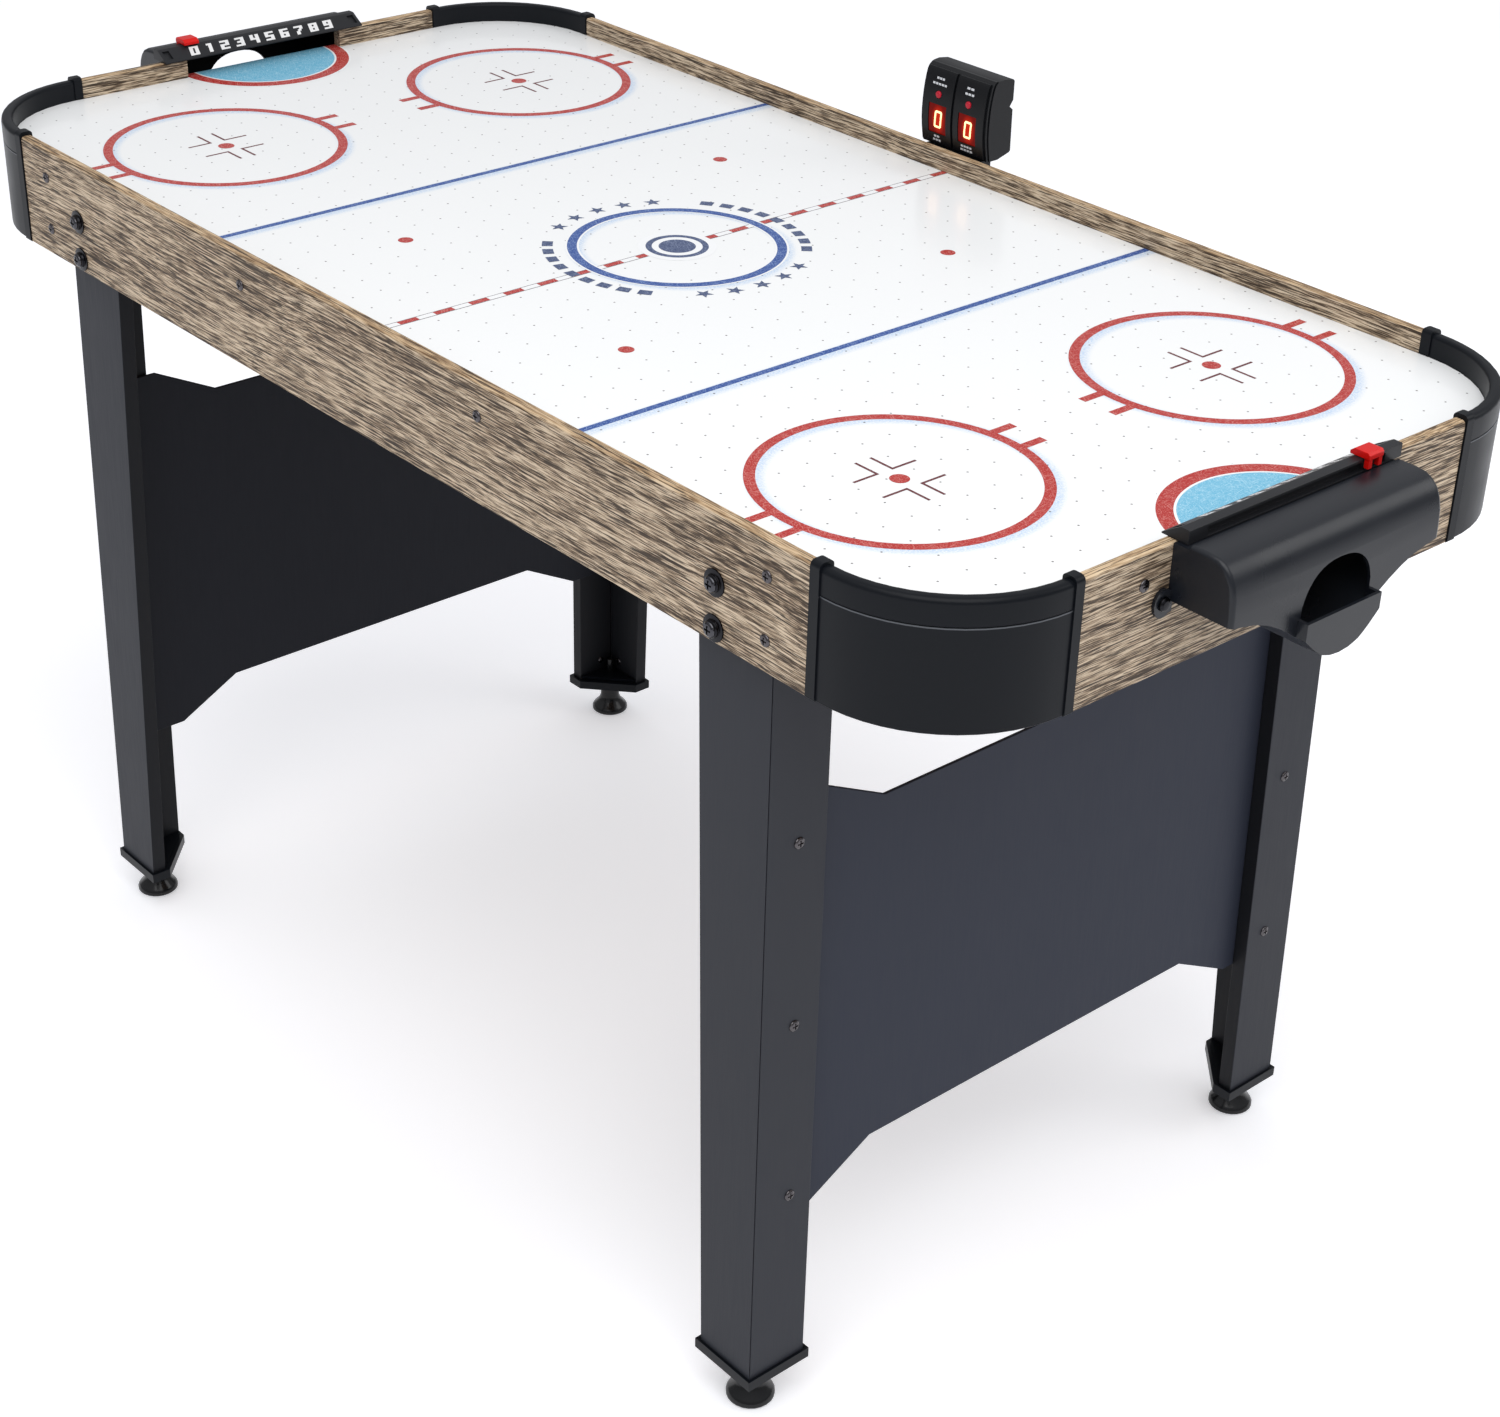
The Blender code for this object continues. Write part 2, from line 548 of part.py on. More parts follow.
# ---------------------------------------------------------------- goals
# Lower edge of the goal box seen from the end, as (y, z).
LOWER_EDGE = smooth(mirrored([(0.0, 0.7296), (0.0220, 0.7345), (0.0410, 0.7510), (0.0620, 0.7652),
                              (0.0870, 0.7768), (BOX_HALF, 0.7824)]), 2)


def box_section(inset, back, low):
    """(x, z) section of the goal box, from its back under the front and over the roof."""
    front, top, step, slot = BOX_FRONT - inset, BOX_TOP - inset, BOX_STEP - inset, SLOT_X[1] + inset
    roof = bow(ROOF_X, ROOF_Z, front - ROOF_X, top - ROOF_Z, 0, 90, 6, ROOF_SQUARE)
    return [(back, low), (front, low), *roof, (slot, top), (slot, step), (back, step)]


def above_edge(name, drop):
    """A block that holds all that lies above the goal box's lower edge."""
    wide = 1 + 10 * GAP
    lower = [(y * wide, z - drop) for y, z in LOWER_EDGE]
    high = BOX_TOP + PAST
    return prism(name, [*lower, (lower[-1][0], high), (lower[0][0], high)], "x", HX - PAST, HX + 10 * PAST)


def round_ends(shell):
    """Rounds the edges where the two end walls meet the roof and the front."""
    bm = bmesh.new()
    bm.from_mesh(shell.data)
    edges = []
    for edge in bm.edges:
        a, b = (vert.co for vert in edge.verts)
        middle = (a + b) / 2
        on_roof = middle.x > SLOT_X[1] + TINY and middle.z > BOX_RAW_LOW + TINY
        if on_roof and abs(a.y - b.y) < TINY:
            edges.append(edge)
    bmesh.ops.bevel(bm, geom=edges, offset=BOX_END_R, segments=3, profile=0.5, affect="EDGES",
                    clamp_overlap=True)
    bm.to_mesh(shell.data)
    bm.free()


def tray_block(name, half, lift, x, top):
    """A block over the middle of the lower edge."""
    steps = 8
    line = [half * k / steps for k in range(-steps, steps + 1)]
    outline = [(y, height_on(LOWER_EDGE, y) + lift) for y in line] + [(half, top), (-half, top)]
    return prism(name, outline, "x", *x)


def make_goal_boxes():
    """The housing that catches the puck, hung on the outside of the end rail."""
    wall = BOX_WALL
    shell = prism("goal_box_right", box_section(0, BOX_BACK, BOX_RAW_LOW), "y", -BOX_HALF, BOX_HALF,
                  "goal_plastic")
    round_ends(shell)
    combine(shell, above_edge("tool", 0), "INTERSECT")
    section = box_section(wall, BOX_BACK - PAST, BOX_RAW_LOW - PAST)
    hollow = prism("tool", section, "y", wall - BOX_HALF, BOX_HALF - wall)
    combine(hollow, above_edge("trim", -wall), "INTERSECT")
    cut(shell, hollow)

    # Tray in front of the arch: a curved pocket open at the top.
    join(shell, tray_block("tool", TRAY_HALF, 0, (BOX_FRONT - 0.0015, TRAY_FRONT), TRAY_LIP))
    room = (BOX_FRONT - 2 * wall, TRAY_FRONT - wall)
    cut(shell, tray_block("tool", TRAY_HALF - 1.1 * wall, wall, room, TRAY_LIP + PAST))

    # Arch through the front wall.
    arch = bow(0, ARCH_Z, ARCH_HALF, ARCH_RISE, 0, 180, 20, ARCH_SQUARE)
    outline = [(-ARCH_HALF, ARCH_LOW), (ARCH_HALF, ARCH_LOW), *arch]
    cut(shell, prism("tool", outline, "x", BOX_FRONT - PAST, BOX_FRONT + GAP))

    # Fixing ears at the back of each side wall.
    depth = (BOX_BACK, BOX_BACK + EAR_THICK)
    for sy in (-1, 1):
        ear = bow(sy * EAR_Y, EAR_Z, EAR_RY, EAR_RZ, 0, 360, 14)[:-1]
        join(shell, prism("tool", ear, "x", *depth))
        web = span(sy, BOX_HALF - 8 * GAP, EAR_Y + 2 * GAP)
        join(shell, box("tool", depth, web, (EAR_Z - EAR_WEB, EAR_Z + EAR_WEB)))
        cut(shell, rod("tool", (BOX_BACK - PAST, sy * EAR_Y, EAR_Z), (1, 0, 0), EAR_HOLE_R, 3 * PAST, 12))
    move_mesh(shell, Matrix.Translation((0, BOX_Y, 0)))
    twin(shell, "goal_box_left", HALF_TURN)


def make_score_strips():
    """Numbered face sloping down to the playfield, a flat top, and a slit along the outer face."""
    edge = 2 * GAP
    foot = Vector((STRIP_FOOT_X, Z_SCORE_LOW + 2 * edge))
    brow = Vector((STRIP_CREST_X - 0.0010, Z_SCORE_TOP - 0.0004))
    top = [(STRIP_CREST_X, Z_SCORE_TOP), (SLOT_X[0] - edge, Z_SCORE_TOP), (SLOT_X[0], Z_SCORE_TOP - edge)]
    profile = [(STRIP_FOOT_X, Z_SCORE_LOW), tuple(foot), tuple(brow), *top, (SLOT_X[0], Z_SCORE_LOW)]
    strip = prism("score_strip_right", profile, "y", -STRIP_HALF, STRIP_HALF, "strip_plastic")
    along = (brow - foot).normalized()
    inward = Vector((along.y, -along.x))
    start, end = POCKET_REACH
    corners = ((start, -POCKET_DEEP), (end, -POCKET_DEEP), (end, POCKET_DEEP), (start, POCKET_DEEP))
    pocket = [tuple(foot + along * a + inward * d) for a, d in corners]
    for sy in (-1, 1):
        cut(strip, prism("tool", pocket, "y", *span(sy, *POCKET_Y)))
    slit_z = (Z_SCORE_LOW + SLIT_BELOW, Z_SCORE_TOP - SLIT_ABOVE)
    cut(strip, box("tool", (SLOT_X[0] - SLIT_DEEP, SLOT_X[0] + PAST), (-SLIT_HALF, SLIT_HALF), slit_z))
    twin(strip, "score_strip_left", HALF_TURN)


def make_score_sliders():
    """A cap over the strip, with two legs down in front of the slit."""
    near, far = SLIDER_X
    low, high = Z_SCORE_TOP + GAP, Z_SCORE_TOP + SLIDER_HIGH
    chamfer = 6 * GAP
    section = [(near, low), (far, low), (far, high - chamfer), (far - chamfer, high),
               (near + 2 * chamfer, high), (near, high - 1.5 * chamfer)]
    slider = prism("score_slider_right", section, "y", SLIDER_Y - SLIDER_HALF, SLIDER_Y + SLIDER_HALF,
                   "slider_red")
    leg_x = (SLOT_X[0] + 2 * GAP, SLOT_X[1] - 3 * GAP)
    for sy in (-1, 1):
        a, b = span(sy, SLIDER_NOTCH, SLIDER_HALF - 2 * GAP)
        join(slider, box("tool", leg_x, (SLIDER_Y + a, SLIDER_Y + b), (BOX_TOP + 2 * GAP, low + chamfer)))
    twin(slider, "score_slider_left", HALF_TURN)


def make_goal_bolts():
    """Bolts through the ears into the end rail."""
    shank = [(0, -0.0150), (0.0026, -0.0150), (0.0026, 0)]
    head = [(0.0056, 0), (0.0054, 0.0018), (0.0038, 0.0032), (0, 0.0036)]
    for (sx, sy), tag in CORNERS:
        seat = (sx * (BOX_BACK + EAR_THICK + GAP), sx * BOX_Y + sy * EAR_Y, EAR_Z)
        lathe(f"goal_bolt_{tag}", shank + head, 14, seat, (sx, 0, 0), "bolt_black_steel")


# ---------------------------------------------------------------- score counter
# Front of the raised panels seen from the side, as (z, y).
FRONT = smooth([(0.8240, 0.3458), (0.8480, 0.3422), (0.8740, 0.3430), (0.8945, 0.3470), (0.9000, 0.3520)], 3)


def front_y(z):
    return height_on(FRONT, z)


def front_band(depths, low=FRONT[0][0], high=FRONT[-1][0]):
    """(y, z) outline between two depths behind the front of the panels."""
    heights = [low, *(z for z, _ in FRONT if low + 3 * GAP < z < high - 3 * GAP), high]
    fore = [(front_y(z) + depths[0], z) for z in heights]
    return fore + [(front_y(z) + depths[1], z) for z in reversed(heights)]


def make_counter_cover():
    """A plate with two raised panels, each with a window and a button hole."""
    x0, x1 = SB_X - SB_HALF + 4 * GAP, SB_X + SB_HALF - 4 * GAP
    cover = prism("counter_front_cover", front_band(SB_PLATE), "x", x0, x1, "counter_cover_plastic")
    overlap = SB_PLATE[0] + 0.0010
    for x in SB_PANEL:
        join(cover, prism("tool", front_band((0, overlap), *SB_PANEL_Z), "x", *x))
    through = (FRONT[0][1] - 2 * PAST, FRONT[-1][1] + PAST)
    for x, _ in SB_CENTRES:
        cut(cover, box("tool", (x - SB_WIN_HALF, x + SB_WIN_HALF), through, SB_WIN_Z))
        cut(cover, rod("tool", (x, through[0], SB_BUTTON_Z), (0, 1, 0), SB_BUTTON_HOLE_R, 4 * PAST))


def make_counter_controls():
    """A window and a push button for each player."""
    low, high = SB_WIN_Z
    half = SB_WIN_HALF - GAP
    button = [(0, 0), (0.0026, 0.0002), (0.0035, 0.0010), (0.0036, 0.0082), (0.0050, 0.0082),
              (0.0050, 0.0096), (0, 0.0096)]
    for x, tag in SB_CENTRES:
        band = front_band((2 * GAP, 10 * GAP), low + GAP, high - GAP)
        prism(f"display_window_{tag}", band, "x", x - half, x + half, "display_red")
        tip = (x, front_y(SB_BUTTON_Z) - 0.0016, SB_BUTTON_Z)
        lathe(f"score_button_{tag}", button, 16, tip, (0, 1, 0), "button_red")


def make_counter_housing():
    """The rear shell, with a groove across its back, and the circuit board inside it."""
    behind = SB_PLATE[1] + GAP
    fore = [(y + behind, z) for z, y in FRONT]
    low, high = FRONT[0][0], FRONT[-1][0] + 0.0008
    crown, groove_z, groove_y = 0.3640, (0.8795, 0.8735, 0.8700), SB_BACK - 0.0042
    back = [(crown, high), (SB_BACK - 0.0015, high - 0.0016), (SB_BACK, high - 0.0033),
            (SB_BACK, groove_z[0]), (groove_y, groove_z[1]), (SB_BACK, groove_z[2]),
            (SB_BACK_LOW, low + 0.0060), (SB_BACK - 0.0010, low + 0.0044), (SB_BACK - 0.0162, low)]
    x0, x1 = SB_X - SB_HALF, SB_X + SB_HALF
    housing = prism("counter_rear_housing", fore + back, "x", x0, x1, "counter_housing_plastic")
    wall, open_y = SB_WALL, FRONT[0][1] - 1.5 * PAST
    deep = groove_y - GAP - wall
    cavity = [(open_y, low + wall), (SB_BACK - 0.0160, low + wall), (deep, low + 3 * wall),
              (deep, high - 0.0038), (crown, high - wall), (open_y, high - wall - 0.0014)]
    cut(housing, prism("tool", cavity, "x", x0 + wall, x1 - wall))
    board_x = (SB_X - SB_BOARD_HALF, SB_X + SB_BOARD_HALF)
    box("counter_circuit_board", board_x, SB_BOARD_Y, SB_BOARD_Z, "circuit_green")


def make_counter_bracket():
    """A plate on the far rail, with a shelf under the housing and two ribs."""
    xa, xb = BRACKET_X
    face = HY + GAP
    bracket = box("counter_bracket", BRACKET_X, (face, face + BRACKET_PLATE), (BRACKET_LOW, BRACKET_TOP),
                  "bracket_plastic")
    inner = face + BRACKET_PLATE / 3
    join(bracket, box("tool", BRACKET_X, (inner, BRACKET_REACH), (BRACKET_SHELF, BRACKET_TOP)))
    rib = [(inner, BRACKET_LOW + 1.5 * PAST), (BRACKET_REACH, BRACKET_SHELF - 0.0126),
           (BRACKET_REACH, BRACKET_TOP - 2 * GAP), (inner, BRACKET_TOP - 2 * GAP)]
    for x in (xa, xb - BRACKET_RIB):
        join(bracket, prism("tool", rib, "x", x, x + BRACKET_RIB))


# ---------------------------------------------------------------- air supply
def make_plenum():
    """The board that closes the air chamber from below, and the beams inside the chamber."""
    inset = RAIL_THICK + GAP
    corner = arc(HX - CORNER_R, HY - CORNER_R, CORNER_R - inset, 0, 90, 8)
    plenum = prism("plenum_board", four_quarters(corner), "z", *PLENUM_Z, "hardboard")
    through = (PLENUM_Z[0] - PAST, PLENUM_Z[1] + PAST)
    for (sx, sy), _ in CORNERS:
        cut(plenum, box("tool", span(sx, *LEG_SLOT_X), span(sy, *LEG_SLOT_Y), through))
    cut(plenum, rod("tool", (0, 0, through[0]), (0, 0, 1), FAN_HOLE_R, 3 * PAST, 32))
    half = HY - inset - 3 * GAP
    for sx, tag in ((1, "right"), (-1, "left")):
        box(f"cross_beam_{tag}", span(sx, *BEAM_X), (-half, half), (PLENUM_Z[1] + GAP, Z_LEDGE), "chipboard")


def make_blower_housing():
    """A flanged tube under the plenum board, with a guard across its lower end."""
    top = PLENUM_Z[0] - GAP
    rim, low = top - FLANGE_THICK, HOUSING_LOW
    bore = HOUSING_R - HOUSING_WALL
    section = [(bore, low), (HOUSING_R, low), (HOUSING_R, rim), (FLANGE_R, rim), (FLANGE_R, top), (bore, top)]
    housing = lathe("blower_housing", section, 36, (0, 0, 0), mat="blower_plastic")
    g0, g1 = GUARD_Z
    guard = ring("guard", FAN_HOLE_R - 0.0040, HOUSING_R, g0, g1, 36)
    join(guard, rod("tool", (0, 0, g0), (0, 0, 1), GUARD_HUB_R, g1 - g0, 24))
    join(guard, ring("tool", GUARD_RING_R - 0.0020, GUARD_RING_R, g0 + GAP, g1 - GAP, 24))
    for k in range(GUARD_BARS):
        reach, across = (GUARD_HUB_R - 0.0050, FAN_HOLE_R), (-GUARD_BAR_HALF, GUARD_BAR_HALF)
        bar = box("tool", reach, across, (g0 + GAP / 2, g1 - GAP / 2))
        move_mesh(bar, Matrix.Rotation(math.radians(360 * k / GUARD_BARS + GUARD_TURN), 4, "Z"))
        join(guard, bar)
    join(housing, guard)


def make_blower_motor():
    low, high = GUARD_Z[1] + GAP, HUB_Z[0] - 0.0040
    bevel = 0.0010
    can = [(0, low), (MOTOR_R - bevel, low), (MOTOR_R, low + bevel), (MOTOR_R, high - 2 * bevel),
           (MOTOR_R - 2 * bevel, high)]
    shaft = [(SHAFT_R, high), (SHAFT_R, Z_SHAFT_TOP), (0, Z_SHAFT_TOP)]
    lathe("blower_motor", can + shaft, 24, (0, 0, 0), mat="motor_steel")


def make_impeller():
    """A hub with slanted blades, on the motor's shaft."""
    bore = SHAFT_R + GAP / 3
    low, high = HUB_Z
    chamfer = 0.0030
    section = [(bore, low), (HUB_R, low), (HUB_R, high - chamfer), (HUB_R - chamfer, high), (bore, high)]
    hub = lathe("impeller", section, 24, (0, 0, 0), mat="impeller_plastic")
    root, tip = HUB_R - 0.0020, BLADE_TIP
    corners = [(root, 0.0045, 0.7105, 0.6975), (root, 0.0060, 0.7090, 0.6990),
               (tip, 0.0125, 0.7110, 0.6970), (tip, 0.0138, 0.7092, 0.6988)]
    points = [(x, -y, z) for x, y, z, _ in corners] + [(x, y, z) for x, y, _, z in corners]
    for k in range(BLADES):
        blade = hull_of("tool", points)
        move_mesh(blade, Matrix.Rotation(2 * math.pi * k / BLADES, 4, "Z"))
        join(hub, blade)


def make_power_inlet():
    inlet = box("power_inlet", INLET_X, INLET_Y, INLET_Z, "inlet_plastic")
    centre = (0, INLET_HOLE_FROM, sum(INLET_Z) / 2)
    cut(inlet, rod("tool", centre, (0, 1, 0), INLET_HOLE_R, 2 * PAST))


# ---------------------------------------------------------------- assembly
def corners_of(obj):
    """Lowest and highest corner of a piece's mesh."""
    points = [vert.co for vert in obj.data.vertices]
    return (Vector([min(p[i] for p in points) for i in range(3)]),
            Vector([max(p[i] for p in points) for i in range(3)]))


def place_pieces():
    """Gives each piece an origin at its middle, or on its joint's axis, under one root on the floor."""
    pieces = list(bpy.data.objects)
    root = bpy.data.objects.new("table_root", None)
    bpy.context.scene.collection.objects.link(root)
    lows, highs = zip(*(corners_of(obj) for obj in pieces))
    for obj, low, high in zip(pieces, lows, highs):
        origin = (low + high) / 2
        if obj.name == "impeller":
            origin = Vector((0, 0, origin.z))
        obj.data.transform(Matrix.Translation(-origin))
        obj.data.shade_smooth()
        obj.data.set_sharp_from_angle(angle=math.radians(30))
        obj.location = origin
        obj.parent = root
    middle = [(min(p[i] for p in lows) + max(p[i] for p in highs)) / 2 for i in range(2)]
    root.location = (-middle[0], -middle[1], -min(p.z for p in lows))


def main():
    clear_scene()
    make_playfield()
    make_side_rails()
    make_end_rails()
    make_corner_caps()
    for side, tag in CORNERS:
        make_leg_boards(side, tag)
        make_leg_cap(side, tag)
        make_leveler(side, tag)
        make_leg_bolts(side, tag)
    make_end_panels()
    make_goal_boxes()
    make_score_strips()
    make_score_sliders()
    make_goal_bolts()
    make_counter_cover()
    make_counter_controls()
    make_counter_housing()
    make_counter_bracket()
    make_plenum()
    make_blower_housing()
    make_blower_motor()
    make_impeller()
    make_power_inlet()
    place_pieces()


main()
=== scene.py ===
import math

import bmesh
import bpy
from mathutils import Matrix, Vector
from mathutils.bvhtree import BVHTree


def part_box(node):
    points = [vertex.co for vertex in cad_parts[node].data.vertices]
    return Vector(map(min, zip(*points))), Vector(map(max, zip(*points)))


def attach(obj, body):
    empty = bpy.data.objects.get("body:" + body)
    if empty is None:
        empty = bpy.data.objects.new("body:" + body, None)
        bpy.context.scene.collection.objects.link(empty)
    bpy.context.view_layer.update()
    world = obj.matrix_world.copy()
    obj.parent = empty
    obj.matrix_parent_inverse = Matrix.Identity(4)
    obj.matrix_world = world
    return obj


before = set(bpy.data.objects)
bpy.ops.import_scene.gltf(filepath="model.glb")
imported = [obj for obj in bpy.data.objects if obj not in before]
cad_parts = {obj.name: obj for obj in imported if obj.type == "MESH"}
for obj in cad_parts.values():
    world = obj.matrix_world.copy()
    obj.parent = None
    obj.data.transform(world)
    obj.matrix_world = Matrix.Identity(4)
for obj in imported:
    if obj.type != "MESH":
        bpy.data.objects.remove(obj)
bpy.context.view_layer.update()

# ---------------------------------------------------------------- places from the frame
FIELD_LOW, FIELD_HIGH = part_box("playfield")
MID_Y = (FIELD_LOW.y + FIELD_HIGH.y) / 2       # the rink's middle line, between the side rails
Z_PLAY = FIELD_HIGH.z
GOAL_X = FIELD_HIGH.x                          # end of the playfield in the goal mouth

# ---------------------------------------------------------------- rink sizes, metres
FACE_OFF = (0.4675, 0.1739)    # centres of the four face-off circles
FACE_OFF_R = (0.1062, 0.1152)  # inner and outer radius of their rings
FACE_OFF_DOT_R = 0.0078
HASH_X, HASH_REACH, HASH_WIDTH = 0.0160, 0.0205, 0.0080
HASH_INSIDE = 0.0020           # each hash bar starts this far inside its ring
CHEVRON_AT, CHEVRON_ARM, CHEVRON_WIDTH = (0.0158, 0.0077), 0.0240, 0.0024
NEUTRAL = (0.1557, 0.1817)     # the four neutral dots
NEUTRAL_R = 0.0068
BLUE_X = 0.2577
BLUE_WIDTH = 0.0065
CENTRE_R = (0.0885, 0.0972)
CENTRE_EDGE = 0.0018           # white line on both sides of the centre circle
STAR_RING, STAR_R, STAR_STEP = 0.1145, 0.0085, 14
STAR_WAIST = 0.42              # inner radius of a star, as a share of its outer one
BLOCKS, BLOCK_START, BLOCK_STEP, BLOCK_TURN = 9, 47, 9.6, 6.0      # plain blocks in an arc, degrees
BLOCK_HALF = 0.0048
PUCK_GROUND_R, PUCK_RING_R, PUCK_R = 0.0350, (0.0225, 0.0280), 0.0165
CREASE_R = (0.0790, 0.0920)
CREASE_LINE = 0.0020           # white lines on both sides of a crease's ring
DASH_PITCH, DASH = 0.0358, 0.0190          # red dashes of the centre line
DASH_WIDTH, CENTRE_LINE_WIDTH = 0.0062, 0.0082
HALF_FIELD = 0.3300
HOLE_PITCH = 0.0280            # air holes
HOLE_R = 0.0009
SHADE_SHIFT = 0.0055           # each printed line's pale shade lies this far towards +X
DIGIT_SHIFT = 0.0014           # the lit digit sits this far right of its window's middle
DIGIT_LEAN = 0.09              # its lean, sideways per unit of height
DIGIT_HALF_WIDTH, DIGIT_HALF_HEIGHT, DIGIT_BAR = 0.0038, 0.0074, 0.0021
DIGIT_LIFT = 0.0004            # clear of the window's curved face
DIGIT_JOIN = 0.6               # each bar's points reach past its corners by this share of half its width
GROOVE_EDGE = 0.8050           # height of the lower edge of the corner caps' groove, where their painted highlight runs
GRAIN_SWAY = 0.013             # how far the wood grain wanders across its board
INNER_PAINTED_SHADE = 0.30             # painted shade: tone of the boards' inner faces against their outer ones
LAYER = 0.00003                # each printed colour lies this much above the last

# Camera: its place, its turn in degrees and its focal length in millimetres.
CAMERA_AT = (1.7425, -1.4503 + MID_Y, 1.6582)
CAMERA_TURN = (59.7614, -1.4821, 49.1607)
CAMERA_LENS = 64.866
CAMERA_SENSOR = 36


def at(x, y, z):
    """A point given from the rink's middle line, in the row frame."""
    return Vector((x, y + MID_Y, z))


def tone(red, green, blue):
    """Linear colour from display values of 0 to 255."""
    def linear(v):
        v /= 255
        return v / 12.92 if v <= 0.04045 else ((v + 0.055) / 1.055) ** 2.4
    return (linear(red), linear(green), linear(blue), 1.0)


# ---------------------------------------------------------------- node helpers
class Look:
    """A procedural material under construction."""

    def __init__(self, name, colour, rough, metal=0.0, coat=0.0, gloss=0.5):
        self.mat = bpy.data.materials.new(name)
        self.mat.use_nodes = True
        self.tree = self.mat.node_tree
        self.shader = self.tree.nodes["Principled BSDF"]
        self.shader.inputs["Base Color"].default_value = colour
        self.shader.inputs["Roughness"].default_value = rough
        self.shader.inputs["Metallic"].default_value = metal
        self.shader.inputs["Specular IOR Level"].default_value = gloss
        self.shader.inputs["Coat Weight"].default_value = coat
        self.shader.inputs["Coat Roughness"].default_value = 0.06
        self.place = self.tree.nodes.new("ShaderNodeTexCoord").outputs["Object"]

    @classmethod
    def again(cls, mat):
        """Goes on with a material that is already made."""
        look = cls.__new__(cls)
        look.mat = mat
        look.tree = mat.node_tree
        look.shader = look.tree.nodes["Principled BSDF"]
        look.place = look.tree.nodes.new("ShaderNodeTexCoord").outputs["Object"]
        return look

    def feed(self, socket, value):
        """Links a node's output to the socket, or sets a plain value on it."""
        if isinstance(value, bpy.types.NodeSocket):
            self.tree.links.new(value, socket)
        else:
            socket.default_value = value

    def calc(self, operation, a, b=0.0):
        node = self.tree.nodes.new("ShaderNodeMath")
        node.operation = operation
        self.feed(node.inputs[0], a)
        self.feed(node.inputs[1], b)
        return node.outputs[0]

    def stretch(self, scale, offset=(0, 0, 0), turn=0.0, place=None):
        """The object's own coordinates, or those given, turned about Z and then scaled."""
        turned = self.tree.nodes.new("ShaderNodeMapping")
        turned.inputs["Rotation"].default_value = (0, 0, math.radians(turn))
        self.feed(turned.inputs["Vector"], place or self.place)
        node = self.tree.nodes.new("ShaderNodeMapping")
        node.inputs["Scale"].default_value = scale
        node.inputs["Location"].default_value = offset
        self.feed(node.inputs["Vector"], turned.outputs[0])
        return node.outputs[0]

    def noise(self, vector, scale=1.0, detail=4.0, rough=0.5, bend=0.0):
        node = self.tree.nodes.new("ShaderNodeTexNoise")
        self.feed(node.inputs["Vector"], vector)
        node.inputs["Scale"].default_value = scale
        node.inputs["Detail"].default_value = detail
        node.inputs["Roughness"].default_value = rough
        node.inputs["Distortion"].default_value = bend
        return node.outputs["Fac"]

    def span(self, value, low, high, to_low=0.0, to_high=1.0):
        """Maps low..high smoothly onto to_low..to_high."""
        node = self.tree.nodes.new("ShaderNodeMapRange")
        node.interpolation_type = "SMOOTHSTEP"
        self.feed(node.inputs["Value"], value)
        for key, number in (("From Min", low), ("From Max", high), ("To Min", to_low), ("To Max", to_high)):
            node.inputs[key].default_value = number
        return node.outputs["Result"]

    def mix(self, share, a, b):
        node = self.tree.nodes.new("ShaderNodeMix")
        node.data_type = "RGBA"
        self.feed(node.inputs[0], share)
        self.feed(node.inputs[6], a)
        self.feed(node.inputs[7], b)
        return node.outputs[2]

    def ramp(self, value, stops):
        node = self.tree.nodes.new("ShaderNodeValToRGB")
        self.feed(node.inputs[0], value)
        band = node.color_ramp
        while len(band.elements) < len(stops):
            band.elements.new(0.5)
        for element, (position, colour) in zip(band.elements, stops):
            element.position = position
            element.color = colour
        return node.outputs[0]

    def colour(self, value):
        self.feed(self.shader.inputs["Base Color"], value)

    def roughness(self, value):
        self.feed(self.shader.inputs["Roughness"], value)

    def bump(self, height, distance, strength=1.0):
        node = self.tree.nodes.new("ShaderNodeBump")
        node.inputs["Strength"].default_value = strength
        node.inputs["Distance"].default_value = distance
        self.feed(node.inputs["Height"], height)
        self.feed(self.shader.inputs["Normal"], node.outputs[0])

    def parts(self, vector):
        node = self.tree.nodes.new("ShaderNodeSeparateXYZ")
        self.feed(node.inputs[0], vector)
        return node.outputs[0], node.outputs[1], node.outputs[2]

    def axes(self):
        return self.parts(self.place)

    def facing(self):
        """The three parts of the surface's normal."""
        return self.parts(self.tree.nodes.new("ShaderNodeNewGeometry").outputs["Normal"])

    def moved(self, *steps):
        """The object's own coordinates plus a step along each axis."""
        joined = self.tree.nodes.new("ShaderNodeCombineXYZ")
        for socket, step in zip(joined.inputs, steps):
            self.feed(socket, step)
        node = self.tree.nodes.new("ShaderNodeVectorMath")
        self.feed(node.inputs[0], self.place)
        self.feed(node.inputs[1], joined.outputs[0])
        return node.outputs[0]


# ---------------------------------------------------------------- materials
def shaded(colour, factor):
    return tuple(min(1.0, c * factor) for c in colour[:3]) + (1.0,)


def plastic(name, colour, rough, grain=0.00004, cells=1500.0, gloss=0.5):
    """Moulded plastic: a fine spark-eroded grain, with slow changes of gloss and tone."""
    look = Look(name, colour, rough, gloss=gloss)
    drift = look.noise(look.place, 14.0, 3.0)
    fine = look.noise(look.place, cells, 2.0)
    share = look.calc("ADD", look.calc("MULTIPLY", drift, 0.5), look.calc("MULTIPLY", fine, 0.5))
    look.colour(look.mix(share, shaded(colour, 0.72), shaded(colour, 1.28)))
    look.roughness(look.span(drift, 0.2, 0.8, rough - 0.05, rough + 0.06))
    look.bump(fine, grain, 0.5)
    return look.mat


